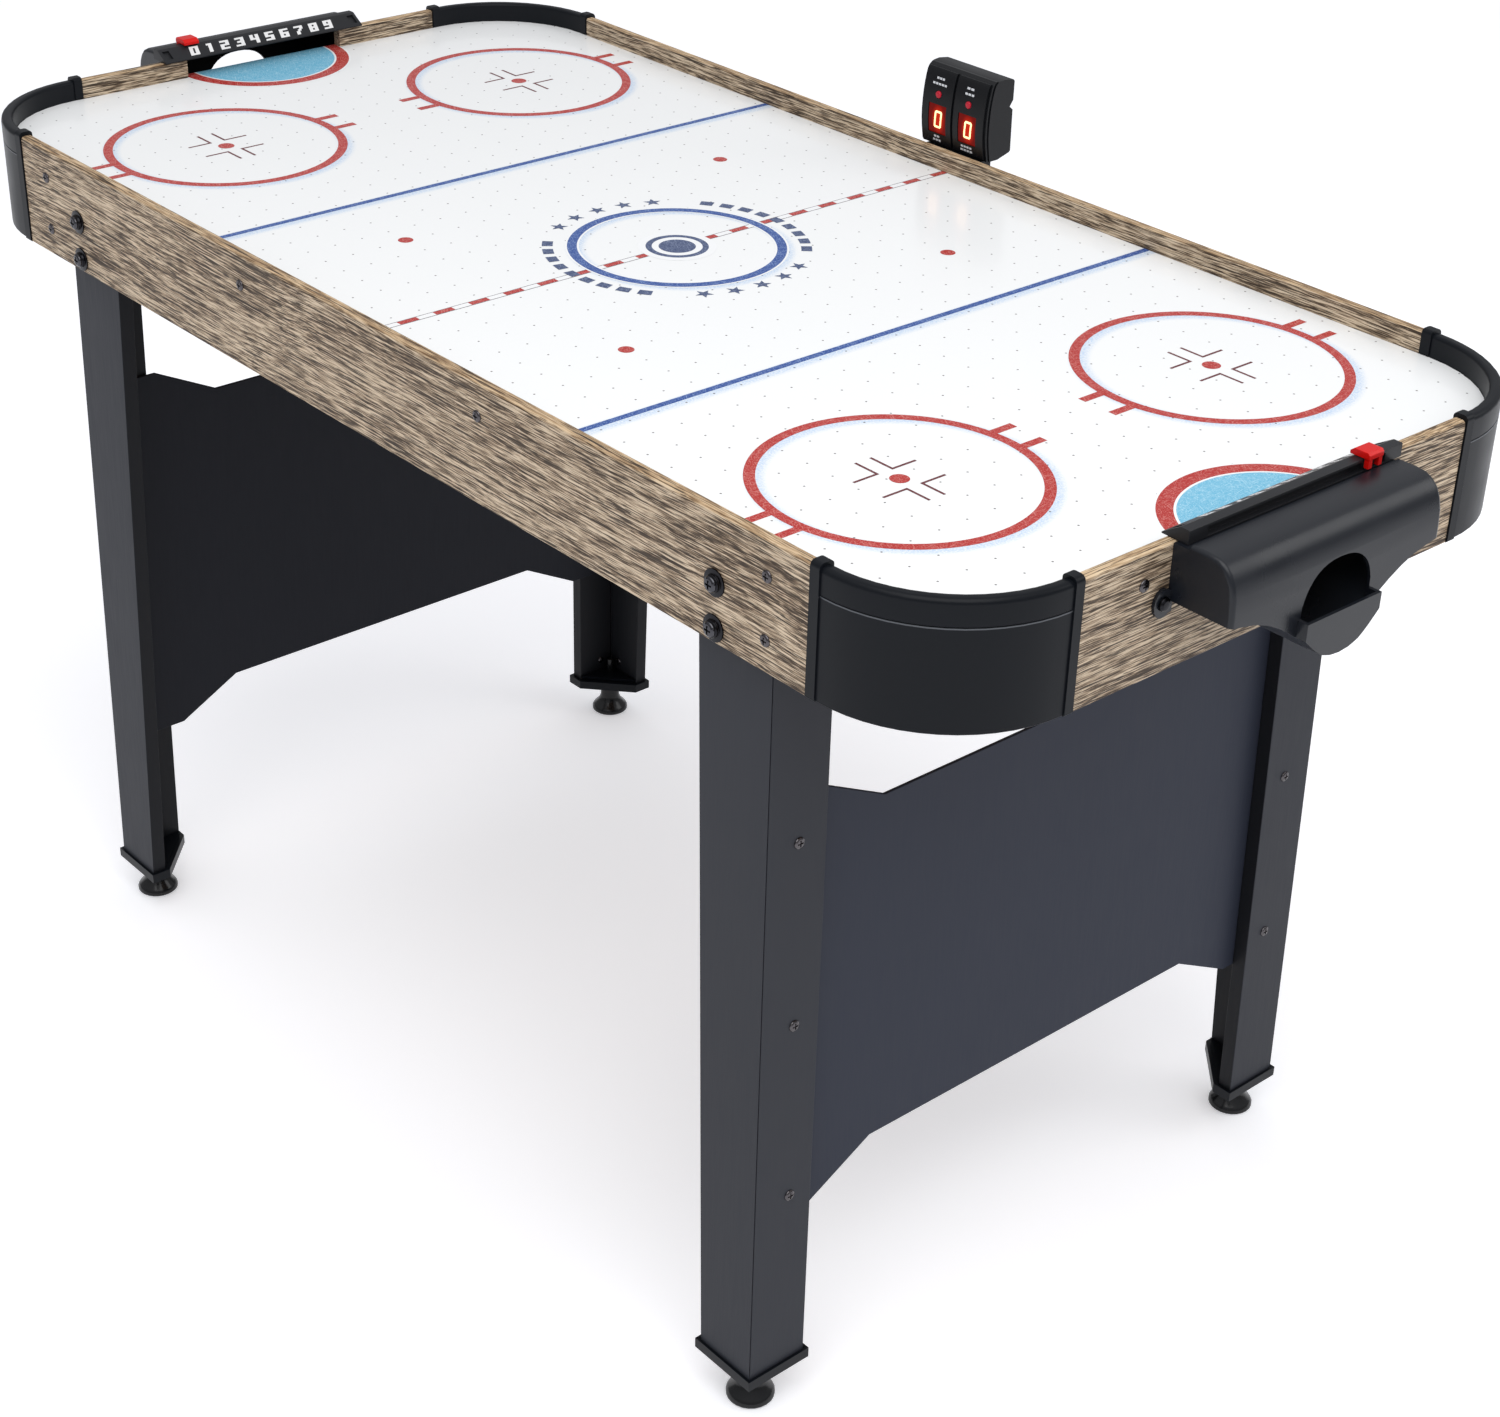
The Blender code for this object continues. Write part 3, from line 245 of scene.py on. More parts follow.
def cap_plastic(name, colour, rough, gloss):
    """The corner caps' plastic, with a painted highlight along the lower edge of the groove round their
    curved wall.
    """
    mat = plastic(name, colour, rough, gloss=gloss)
    look = Look.again(mat)
    _, _, z = look.axes()
    # Painted highlight: a pale line along the groove's lower edge, kept off the faces that look straight
    # along x or y.
    edge = look.span(look.calc("ABSOLUTE", look.calc("SUBTRACT", z, GROOVE_EDGE)), 0.0002, 0.0007, 0.75, 0.0)
    nx, ny, _ = look.facing()
    square = look.calc("MAXIMUM", look.calc("ABSOLUTE", nx), look.calc("ABSOLUTE", ny))
    edge = look.calc("MULTIPLY", edge, look.span(square, 0.9975, 0.9992, 1.0, 0.0))
    before = look.shader.inputs["Base Color"].links[0].from_socket
    look.colour(look.mix(edge, before, tone(104, 107, 112)))
    return mat


def laminate(name, colour, rough, gloss):
    """Black foil on board: faint upright wood pores, a soft sheen, and painted shade on the faces towards
    the inside.
    """
    look = Look(name, colour, rough, gloss=gloss)
    pores = look.noise(look.stretch((900, 900, 22)), 1.0, 3.0, 0.6)
    drift = look.noise(look.place, 5.0, 3.0)
    share = look.calc("MULTIPLY", pores, look.span(drift, 0.2, 0.8, 0.8, 1.1))
    foil = look.mix(share, shaded(colour, 0.86), shaded(colour, 1.14))
    # Painted shade: faces turned towards the table's middle take a darker copy of the foil.
    x, y, _ = look.axes()
    nx, ny, _ = look.facing()
    outward = look.calc("MULTIPLY", look.calc("SUBTRACT", y, MID_Y), ny)
    outward = look.calc("ADD", look.calc("MULTIPLY", x, nx), outward)
    look.colour(look.mix(look.span(outward, -0.05, 0.0), shaded(colour, INNER_PAINTED_SHADE), foil))
    look.roughness(look.span(pores, 0.3, 0.7, rough - 0.04, rough + 0.08))
    look.bump(pores, 0.00004, 0.5)
    return look.mat


# Grain colours of the side faces; the top list is a lighter, warmer copy for the upward faces, which is
# painted light.
OAK_SIDE = [(0.435, tone(63, 50, 38)), (0.465, tone(115, 96, 77)), (0.495, tone(156, 136, 112)),
            (0.525, tone(187, 166, 140)), (0.56, tone(213, 194, 168))]
OAK_LIT_TOP = [(0.40, tone(112, 86, 60)), (0.46, tone(164, 135, 102)), (0.53, tone(200, 172, 136)),
           (0.60, tone(222, 198, 164))]
OAK_CRACK = tone(56, 45, 36)


def oak(name, along):
    """Driftwood oak foil with its grain along x or y, and painted light on the upward faces: a lighter,
    warmer copy of its colours.
    """
    look = Look(name, tone(150, 134, 116), 0.5, gloss=0.25)

    def sized(length, across):
        return (length, across, across) if along == "x" else (across, length, across)

    slow = look.noise(look.stretch(sized(3.2, 9)), 1.0, 2.0, 0.5)
    sway = look.calc("MULTIPLY", look.calc("SUBTRACT", slow, 0.5), GRAIN_SWAY)
    bent = look.moved(0.0, sway, sway) if along == "x" else look.moved(sway, 0.0, sway)

    def grain(length, across, detail, rough, offset=(0, 0, 0)):
        return look.noise(look.stretch(sized(length, across), offset, place=bent), 1.0, detail, rough, 0.3)

    patch = grain(6, 60, 3.0, 0.5)
    streak = grain(26, 820, 2.0, 0.6, (2, 9, 4))
    fibre = grain(60, 1350, 2.0, 0.6)
    pores = grain(30, 1050, 2.0, 0.5, (3, 5, 7))
    cracks = grain(11, 640, 2.0, 0.5, (8, 1, 3))
    ground = look.calc("ADD", look.calc("MULTIPLY", streak, 0.50), look.calc("MULTIPLY", fibre, 0.36))
    ground = look.calc("ADD", ground, look.calc("MULTIPLY", patch, 0.14))
    side = look.ramp(ground, OAK_SIDE)
    top = look.ramp(ground, OAK_LIT_TOP)
    # Painted light: faces turned upward take the lighter top colours.
    wood = look.mix(look.span(look.facing()[2], 0.35, 0.85), side, top)
    cracks = look.span(cracks, 0.60, 0.64, 0.0, 0.95)
    dark = look.calc("MAXIMUM", look.span(pores, 0.56, 0.62, 0.0, 0.85), cracks)
    look.colour(look.mix(dark, wood, OAK_CRACK))
    look.roughness(look.span(fibre, 0.3, 0.7, 0.46, 0.62))
    look.bump(look.calc("SUBTRACT", fibre, dark), 0.00009, 0.6)
    return look.mat


def rink_sheet():
    """White gloss laminate with rows of air holes, and a pale blue shade beside the printed lines."""
    white = tone(246, 247, 246)
    look = Look("rink_sheet", white, 0.22, coat=0.15, gloss=0.25)
    x, y, _ = look.axes()
    y = look.calc("SUBTRACT", y, MID_Y)
    rings = [(sx * FACE_OFF[0], sy * FACE_OFF[1], sum(FACE_OFF_R) / 2) for sx in (-1, 1) for sy in (-1, 1)]
    rings += [(0.0, 0.0, sum(CENTRE_R) / 2)]
    away = []
    for cx, cy, radius in rings:
        sides = [look.calc("SUBTRACT", x, cx + SHADE_SHIFT), look.calc("SUBTRACT", y, cy)]
        reach = look.calc("SQRT", look.calc("ADD", *[look.calc("MULTIPLY", v, v) for v in sides]))
        away.append(look.calc("ABSOLUTE", look.calc("SUBTRACT", reach, radius)))
    for line_x in (-BLUE_X, BLUE_X):
        away.append(look.calc("ABSOLUTE", look.calc("SUBTRACT", x, line_x + SHADE_SHIFT * 0.7)))
    nearest = away[0]
    for distance in away[1:]:
        nearest = look.calc("MINIMUM", nearest, distance)
    grain = look.noise(look.place, 620.0, 3.0, 0.7)
    spread = look.span(nearest, 0.002, 0.011, 1.0, 0.0)
    shade = look.calc("MULTIPLY", spread, look.span(grain, 0.34, 0.66, 0.25, 1.0))
    tint = look.mix(look.calc("MULTIPLY", shade, 0.8), white, tone(168, 200, 235))
    along = [look.calc("MULTIPLY", look.calc("SUBTRACT", look.calc("FRACT", look.calc(
        "DIVIDE", v, HOLE_PITCH)), 0.5), HOLE_PITCH) for v in (x, y)]
    near_hole = look.calc("SQRT", look.calc("ADD", *[look.calc("MULTIPLY", v, v) for v in along]))
    hole = look.span(near_hole, HOLE_R * 0.7, HOLE_R * 1.2, 1.0, 0.0)
    look.colour(look.mix(look.calc("MULTIPLY", hole, 0.85), tint, tone(86, 78, 76)))
    look.roughness(look.span(look.noise(look.place, 9.0, 3.0), 0.2, 0.8, 0.16, 0.25))
    look.bump(look.calc("MULTIPLY", hole, -1.0), 0.0003, 0.8)
    return look.mat


def ink(name, colour, worn, share=0.6):
    """Printed colour under the gloss sheet, peppered and scratched with lighter marks."""
    look = Look(name, colour, 0.24, coat=0.05, gloss=0.15)
    marks = look.span(look.noise(look.place, 1050.0, 2.0, 0.6), 0.55, 0.63)
    for turn, offset in ((28, (0, 0, 0)), (-36, (2, 4, 0)), (84, (7, 1, 0))):
        scratch = look.noise(look.stretch((90, 1100, 1), offset, turn), 1.0, 2.0, 0.6)
        marks = look.calc("MAXIMUM", marks, look.span(scratch, 0.60, 0.68))
    look.colour(look.mix(look.calc("MULTIPLY", marks, share), colour, worn))
    return look.mat


def steel(name, colour, rough):
    """Plated steel with fine turned marks."""
    look = Look(name, colour, rough, metal=1.0)
    marks = look.noise(look.stretch((2200, 2200, 300)), 1.0, 3.0, 0.6)
    look.roughness(look.span(marks, 0.3, 0.7, rough - 0.06, rough + 0.10))
    look.bump(marks, 0.00002, 0.4)
    return look.mat


def board(name, dark, light, cells):
    """Raw pressed board: flecks of several sizes."""
    look = Look(name, light, 0.8)
    flecks = look.noise(look.place, cells, 6.0, 0.7)
    look.colour(look.ramp(flecks, [(0.35, dark), (0.62, light)]))
    look.bump(flecks, 0.0003, 0.6)
    return look.mat


def glowing(name, colour, strength):
    """Lit segment of the counter."""
    look = Look(name, colour, 0.4)
    look.shader.inputs["Emission Color"].default_value = colour
    look.shader.inputs["Emission Strength"].default_value = strength
    look.roughness(look.span(look.noise(look.place, 900.0), 0.2, 0.8, 0.3, 0.5))
    return look.mat


def display_window():
    """Red filter that glows round the lit digit behind it."""
    look = Look("window_red", tone(58, 2, 2), 0.20, gloss=0.06)
    x, _, z = look.axes()
    away = None
    for tag in ("left", "right"):
        low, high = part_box("display_window_" + tag)
        sides = [look.calc("SUBTRACT", x, (low.x + high.x) / 2 + DIGIT_SHIFT),
                 look.calc("MULTIPLY", look.calc("SUBTRACT", z, (low.z + high.z) / 2), 0.62)]
        reach = look.calc("SQRT", look.calc("ADD", *[look.calc("MULTIPLY", v, v) for v in sides]))
        away = reach if away is None else look.calc("MINIMUM", away, reach)
    speckle = look.noise(look.place, 1600.0, 2.0)
    heat = look.span(away, 0.0034, 0.0100, 1.0, 0.10)
    heat = look.calc("MULTIPLY", heat, look.span(speckle, 0.2, 0.8, 0.8, 1.1))
    glow = look.mix(heat, tone(96, 6, 4), tone(232, 44, 8))
    look.feed(look.shader.inputs["Emission Color"], glow)
    look.shader.inputs["Emission Strength"].default_value = 0.70
    look.roughness(look.span(speckle, 0.3, 0.7, 0.12, 0.22))
    return look.mat


# One material for each kind of surface. NODE_LOOKS picks one by the start of a node's name; the first match
# counts.
LOOKS = {
    "cap": cap_plastic("satin_black_moulding", tone(15, 18, 23), 0.36, 0.15),
    "leg": laminate("leg_foil", tone(48, 50, 56), 0.46, 0.15),
    "panel": laminate("panel_foil", tone(46, 50, 62), 0.50, 0.15),
    "foot": plastic("gloss_black_foot", tone(16, 17, 19), 0.20, 0.00001, gloss=0.35),
    "goal": plastic("goal_black", tone(23, 26, 32), 0.30, 0.00009, 900.0, gloss=0.36),
    "strip": plastic("strip_black", tone(32, 33, 36), 0.40, gloss=0.24),
    "counter": plastic("counter_black", tone(17, 18, 21), 0.34, 0.00005, 1300.0, gloss=0.24),
    "red": plastic("signal_red", tone(212, 18, 14), 0.28, 0.00002, gloss=0.22),
    "button": plastic("button_red", tone(190, 24, 48), 0.34, 0.00002, gloss=0.35),
    "window": display_window(),
    "circuit": plastic("circuit_green", tone(20, 92, 52), 0.42, 0.00005),
    "dark": plastic("blower_black", tone(34, 34, 37), 0.48, gloss=0.3),
    "impeller": plastic("impeller_grey", tone(84, 85, 88), 0.45),
    "steel": steel("zinc_steel", tone(178, 180, 184), 0.32),
    "bolt": steel("black_zinc", tone(40, 40, 43), 0.20),
    "drive": steel("bright_zinc", tone(76, 76, 80), 0.16),
    "screw": steel("dark_screw", tone(88, 85, 87), 0.18),
    "hardboard": board("hardboard", tone(98, 70, 48), tone(142, 108, 76), 420.0),
    "chipboard": board("chipboard", tone(150, 120, 84), tone(206, 178, 138), 240.0),
}
NODE_LOOKS = (
    ("corner_cap", "cap"), ("leg_cap", "cap"), ("leg_bolt", "bolt"), ("goal_bolt", "bolt"),
    ("leg_", "leg"), ("leveler", "foot"), ("end_panel", "panel"), ("goal_box", "goal"),
    ("score_strip", "strip"), ("score_slider", "red"), ("score_button", "button"),
    ("display_window", "window"), ("counter_circuit", "circuit"), ("counter_", "counter"),
    ("plenum", "hardboard"), ("cross_beam", "chipboard"), ("blower_motor", "steel"),
    ("blower", "dark"), ("impeller", "impeller"), ("power_inlet", "dark"),
)
SHARP_NODES = ("impeller", "blower", "counter_circuit", "plenum", "cross_beam")      # left as they are
FINE_NODES = ("score", "display", "goal_bolt", "leg_bolt")
FINE_EDGE, EDGE = 0.0004, 0.0007           # width of their rounded edges, and of all others'


def dress(obj, mat):
    obj.data.materials.clear()
    obj.data.materials.append(mat)


def soften(obj, width, angle=32):
    """Joins the faces of a moulded or laminated part, rounds its hard edges and smooths its curves."""
    weld = obj.modifiers.new("weld", "WELD")
    weld.merge_threshold = 0.00001
    bevel = obj.modifiers.new("edge", "BEVEL")
    bevel.width = width
    bevel.segments = 2
    bevel.limit_method = "ANGLE"
    bevel.angle_limit = math.radians(angle)
    bevel.use_clamp_overlap = True
    flat = obj.modifiers.new("flat", "WEIGHTED_NORMAL")
    flat.mode = "FACE_AREA_WITH_ANGLE"
    obj.data.normals_split_custom_set([(0, 0, 0)] * len(obj.data.loops))
    for face in obj.data.polygons:
        face.use_smooth = True


def dress_frame():
    """Gives every CAD node its material, and most of them rounded edges."""
    rails = {"side_rail": oak("oak_lengthwise", "x"), "end_rail": oak("oak_crosswise", "y")}
    for name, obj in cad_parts.items():
        if name == "playfield":
            dress(obj, rink_sheet())
            continue
        wood = next((mat for start, mat in rails.items() if name.startswith(start)), None)
        look = next((key for start, key in NODE_LOOKS if name.startswith(start)), None)
        dress(obj, wood or LOOKS[look])
        if not name.startswith(SHARP_NODES):
            soften(obj, FINE_EDGE if name.startswith(FINE_NODES) else EDGE)


# ---------------------------------------------------------------- printed shapes
def finish_piece(name, bm, mat, body="table"):
    mesh = bpy.data.meshes.new(name)
    bm.to_mesh(mesh)
    bm.free()
    obj = bpy.data.objects.new(name, mesh)
    bpy.context.scene.collection.objects.link(obj)
    mesh.materials.append(mat)
    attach(obj, body)
    return obj


def face_up(bm, points, layer):
    """One flat printed face on the playfield."""
    verts = [bm.verts.new(at(x, y, Z_PLAY + LAYER * layer)) for x, y in points]
    face = bm.faces.new(verts)
    face.normal_update()
    if face.normal.z < 0:
        face.normal_flip()


def ring(bm, centre, radii, layer, start=0.0, turn=360.0, steps=96):
    """A ring, or with an inner radius of 0 a disc, as a fan of short faces."""
    for k in range(steps):
        a, b = (math.radians(start + turn * i / steps) for i in (k, k + 1))
        outer = [(centre[0] + radii[1] * math.cos(t), centre[1] + radii[1] * math.sin(t)) for t in (a, b)]
        inner = [(centre[0] + radii[0] * math.cos(t), centre[1] + radii[0] * math.sin(t)) for t in (b, a)]
        face_up(bm, outer + (inner if radii[0] else [centre]), layer)


def stroke(bm, start, end, width, layer):
    """A straight bar of that width between two points."""
    s, e = Vector(start), Vector(end)
    side = (e - s).normalized().orthogonal() * width / 2
    face_up(bm, [tuple(s + side), tuple(e + side), tuple(e - side), tuple(s - side)], layer)


def star(bm, centre, radius, turn, layer):
    """A five-pointed star with one point towards that turn."""
    points = []
    for k in range(10):
        reach = radius if k % 2 == 0 else radius * STAR_WAIST
        a = math.radians(turn + 36 * k)
        points.append((centre[0] + reach * math.cos(a), centre[1] + reach * math.sin(a)))
    face_up(bm, points, layer)


def print_face_off(red, dark):
    """Ring, dot, four chevrons and four hash bars at each face-off spot."""
    for sx in (-1, 1):
        for sy in (-1, 1):
            c = (sx * FACE_OFF[0], sy * FACE_OFF[1])
            ring(red, c, FACE_OFF_R, 3)
            ring(red, c, (0, FACE_OFF_DOT_R), 4, steps=32)
            for px in (-1, 1):
                for py in (-1, 1):
                    corner = (c[0] + px * CHEVRON_AT[0], c[1] + py * CHEVRON_AT[1])
                    start = (corner[0] - px * CHEVRON_WIDTH / 2, corner[1])
                    stroke(dark, start, (corner[0] + px * CHEVRON_ARM, corner[1]), CHEVRON_WIDTH, 4)
                    start = (corner[0], corner[1] + py * CHEVRON_WIDTH / 2)
                    stroke(dark, start, (corner[0], corner[1] + py * CHEVRON_ARM), CHEVRON_WIDTH, 4)
                    x = c[0] + px * HASH_X
                    foot, tip = FACE_OFF_R[1] - HASH_INSIDE, FACE_OFF_R[1] + HASH_REACH
                    stroke(red, (x, c[1] + py * foot), (x, c[1] + py * tip), HASH_WIDTH, 4)
    for sx in (-1, 1):
        for sy in (-1, 1):
            ring(red, (sx * NEUTRAL[0], sy * NEUTRAL[1]), (0, NEUTRAL_R), 3, steps=32)


def print_creases(red, blue, white):
    """Half discs in front of the goals, cut off by the goal mouth."""
    half = {"turn": 180, "steps": 64}
    for sx in (-1, 1):
        start = 90 if sx > 0 else -90
        c = (sx * GOAL_X, 0.0)
        ring(white, c, (CREASE_R[1], CREASE_R[1] + CREASE_LINE), 2, start, **half)
        ring(red, c, CREASE_R, 3, start, **half)
        ring(white, c, (CREASE_R[0] - CREASE_LINE, CREASE_R[0]), 3, start, **half)
        ring(blue, c, (0, CREASE_R[0] - CREASE_LINE), 2, start, **half)


def print_lines(blue, red, white, grey):
    """Two blue lines, and a dashed red centre line on a white band with grey edges."""
    for sx in (-1, 1):
        stroke(blue, (sx * BLUE_X, -HALF_FIELD), (sx * BLUE_X, HALF_FIELD), BLUE_WIDTH, 3)
    stroke(grey, (0, -HALF_FIELD), (0, HALF_FIELD), CENTRE_LINE_WIDTH, 1)
    stroke(white, (0, -HALF_FIELD), (0, HALF_FIELD), DASH_WIDTH, 2)
    count = int(HALF_FIELD / DASH_PITCH)
    for k in range(-count, count + 1):
        if k:
            stroke(red, (0, k * DASH_PITCH - DASH / 2), (0, k * DASH_PITCH + DASH / 2), DASH_WIDTH, 3)


def print_centre(blue, navy, white):
    """Centre circle, two arcs of five stars and two of plain blocks, with a plain puck in the middle."""
    ring(white, (0, 0), (CENTRE_R[0] - CENTRE_EDGE, CENTRE_R[1] + CENTRE_EDGE), 4)
    ring(blue, (0, 0), CENTRE_R, 5)
    for side in (0, 180):
        for k in range(-2, 3):
            turn = side + STAR_STEP * k
            a = math.radians(turn)
            star(navy, (STAR_RING * math.cos(a), STAR_RING * math.sin(a)), STAR_R, turn, 6)
        for k in range(BLOCKS):
            start = side + BLOCK_START + BLOCK_STEP * k
            ring(navy, (0, 0), (STAR_RING - BLOCK_HALF, STAR_RING + BLOCK_HALF), 6, start, BLOCK_TURN, 4)
    ring(white, (0, 0), (0, PUCK_GROUND_R), 4, steps=64)
    ring(navy, (0, 0), PUCK_RING_R, 5, steps=64)
    ring(navy, (0, 0), (0, PUCK_R), 5, steps=64)


def make_prints():
    """One piece for each printed colour."""
    colours = {
        "red": ink("ink_red", tone(176, 42, 38), tone(222, 150, 142)),
        "dark_red": ink("ink_dark_red", tone(100, 46, 50), tone(160, 112, 114), 0.4),
        "blue": ink("ink_blue", tone(40, 76, 148), tone(150, 174, 214)),
        "navy": ink("ink_navy", tone(62, 77, 114), tone(150, 162, 188), 0.55),
        "ice": ink("ink_ice", tone(112, 184, 214), tone(190, 226, 240), 0.7),
        "white": ink("ink_white", tone(244, 245, 245), tone(248, 249, 248), 0.2),
        "grey": ink("ink_grey", tone(112, 104, 108), tone(180, 180, 186)),
    }
    sheets = {key: bmesh.new() for key in colours}
    print_face_off(sheets["red"], sheets["dark_red"])
    print_creases(sheets["red"], sheets["ice"], sheets["white"])
    print_lines(sheets["blue"], sheets["red"], sheets["white"], sheets["grey"])
    print_centre(sheets["blue"], sheets["navy"], sheets["white"])
    for key, bm in sheets.items():
        obj = finish_piece("rink_print_" + key, bm, colours[key])


# ---------------------------------------------------------------- numerals and counter digits
NUMERAL_PITCH = 0.0179
NUMERAL_CELL = (0.0021, 0.0023)            # each numeral is 5 by 5 cells
NUMERAL_LEAN = 0.22
NUMERAL_LIFT = 0.0001                      # off the strip's sloping face
SLOPE_FOOT_UP = 0.0012                     # the slope starts this far above the strip's bottom
SLOPE_HEAD_IN, SLOPE_HEAD_DOWN = 0.0154, 0.0004      # and ends this far in from its edge and below its top
NUMERALS = (
    "##### ##.## ##.## ##.## #####", ".###. ..##. ..##. ..##. ..##.", "##### ...## ##### ##... #####",
    "##### ...## .#### ...## #####", "##.## ##.## ##### ...## ...##", "##### ##... ##### ...## #####",
    "##### ##... ##### ##.## #####", "##### ...## ..##. .##.. .##..", "##### ##.## ##### ##.## #####",
    "##### ##.## ##### ...## #####",
)


def numeral(bm, rows, middle, across, up):
    """Blocky leaning numeral: its cells share their corners."""
    corners = {}
    half = len(rows.split()) / 2

    def corner(col, row):
        if (col, row) not in corners:
            y = (half - row) * NUMERAL_CELL[1]
            x = (col - half) * NUMERAL_CELL[0] + NUMERAL_LEAN * y
            corners[col, row] = bm.verts.new(middle + across * x + up * y)
        return corners[col, row]

    for row, cells in enumerate(rows.split()):
        for col, cell in enumerate(cells):
            if cell == "#":
                low = [corner(col, row + 1), corner(col + 1, row + 1)]
                bm.faces.new(low + [corner(col + 1, row), corner(col, row)])


def make_numerals():
    """White 0 to 9 on the sloping face of each strip, read from the playfield."""
    mat = plastic("numeral_white", tone(238, 238, 236), 0.45, 0.00001, gloss=0.3)
    low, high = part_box("score_strip_left")
    # The sloping face runs from the strip's inner bottom edge up to its flat top.
    foot = Vector((high.x, 0, low.z + SLOPE_FOOT_UP))
    head = Vector((high.x - SLOPE_HEAD_IN, 0, high.z - SLOPE_HEAD_DOWN))
    up = (head - foot).normalized()
    across = Vector((0, 1, 0))
    middle = (foot + head) / 2 + across.cross(up) * NUMERAL_LIFT
    for tag, turn in (("left", 0), ("right", math.pi)):
        bm = bmesh.new()
        for k, rows in enumerate(NUMERALS):
            numeral(bm, rows, middle + across * (k - (len(NUMERALS) - 1) / 2) * NUMERAL_PITCH, across, up)
        bm.transform(Matrix.Translation((0, MID_Y, 0)) @ Matrix.Rotation(turn, 4, "Z"))
        obj = finish_piece("score_numerals_" + tag, bm, mat)


RAY_OUT = 0.1                  # rays at the counter start this far in front of it


def surface_of(node):
    """Finds points on a CAD node by casting a ray at it."""
    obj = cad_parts[node]
    tree = BVHTree.FromPolygons([v.co for v in obj.data.vertices], [p.vertices for p in obj.data.polygons])

    def hit(origin, direction):
        place, normal, _, _ = tree.ray_cast(Vector(origin), Vector(direction))
        return place, normal
    return hit


def make_digits():
    """A lit 0 in each window of the counter."""
    mat = glowing("segment_amber", tone(255, 222, 158), 1.35)
    wide, tall, bar = DIGIT_HALF_WIDTH, DIGIT_HALF_HEIGHT, DIGIT_BAR
    corners = [(-wide, tall), (wide, tall), (wide, 0), (wide, -tall), (-wide, -tall), (-wide, 0)]
    for tag in ("left", "right"):
        low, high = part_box("display_window_" + tag)
        hit = surface_of("display_window_" + tag)
        cx, cz = (low.x + high.x) / 2 + DIGIT_SHIFT, (low.z + high.z) / 2
        bm = bmesh.new()
        for k, start in enumerate(corners):
            a, b = Vector(start), Vector(corners[(k + 1) % len(corners)])
            run = (b - a).normalized()
            side = run.orthogonal() * bar / 2
            tip = run * bar / 2
            a, b = a - tip * DIGIT_JOIN, b + tip * DIGIT_JOIN
            a2, b2 = a + tip, b - tip
            outline = [a, a2 + side, b2 + side, b, b2 - side, a2 - side]
            verts = []
            for p in outline:
                place, _ = hit((cx + p.x + DIGIT_LEAN * p.y, low.y - RAY_OUT, cz + p.y), (0, 1, 0))
                verts.append(bm.verts.new(place + Vector((0, -DIGIT_LIFT, 0))))
            bm.faces.new(verts)
        bmesh.ops.recalc_face_normals(bm, faces=bm.faces)
        obj = finish_piece("counter_digit_" + tag, bm, mat)


CAPTIONS = (("left", (0.0110, 0.0190, 0.0080, 0.0110)), ("right", (0.0100, 0.0125, 0.0150, 0.0165)))
CAPTION_OVER_BUTTON = (0.0140, 0.0088)     # heights of the first two lines above the button's middle
CAPTION_UNDER_WINDOW = (0.0042, 0.0078)    # depths of the last two below the window
CAPTION_PITCH, CAPTION_FILL, CAPTION_TALL, CAPTION_LIFT = 0.0040, 0.78, 0.0020, 0.0001


def make_labels():
    """Plain white dashes where the counter's panels carry their printed captions."""
    mat = plastic("label_white", tone(214, 216, 220), 0.5, 0.00001, gloss=0.2)
    hit = surface_of("counter_front_cover")
    for tag, widths in CAPTIONS:
        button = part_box("score_button_" + tag)
        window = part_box("display_window_" + tag)
        middle = (button[0] + button[1]) / 2
        heights = [middle.z + up for up in CAPTION_OVER_BUTTON]
        heights += [window[0].z - down for down in CAPTION_UNDER_WINDOW]
        bm = bmesh.new()
        for width, z in zip(widths, heights):
            count = max(2, round(width / CAPTION_PITCH))
            step = width / count
            for k in range(count):
                x0 = middle.x - width / 2 + k * step
                x1, z1 = x0 + step * CAPTION_FILL, z + CAPTION_TALL
                corners = ((x0, z), (x1, z), (x1, z1), (x0, z1))
                places = [hit((x, middle.y - RAY_OUT, height), (0, 1, 0))[0] for x, height in corners]
                bm.faces.new([bm.verts.new(place + Vector((0, -CAPTION_LIFT, 0))) for place in places])
        obj = finish_piece("counter_label_" + tag, bm, mat)


# ---------------------------------------------------------------- screws
RAIL_SCREWS = ((0.5118, 0.7986), (0.5118, 0.7483), (0.1716, 0.7985))     # x and z on the side rails
END_RAIL_SCREW = (0.149, 0.8012)           # y and z on the end rails
LEG_SCREW_Y, LEG_SCREW_Z = 0.2960, (0.5585, 0.3909, 0.2227)
CAP_SCREW = (0.4850, 0.3050, 0.0640)       # a point inside each leg's hollow, level with its two screws
SCREW_HEAD, CAP_SCREW_HEAD, BOLT_DOME = (0.0050, 0.0020), (0.0038, 0.0016), (0.0062, 0.0026)
DOME_SUNK = 0.0012                         # a bolt's dome starts this far inside its head
SIDE_OUT, END_OUT = 1.0, 1.5               # rays at the sides and ends start this far from the middle


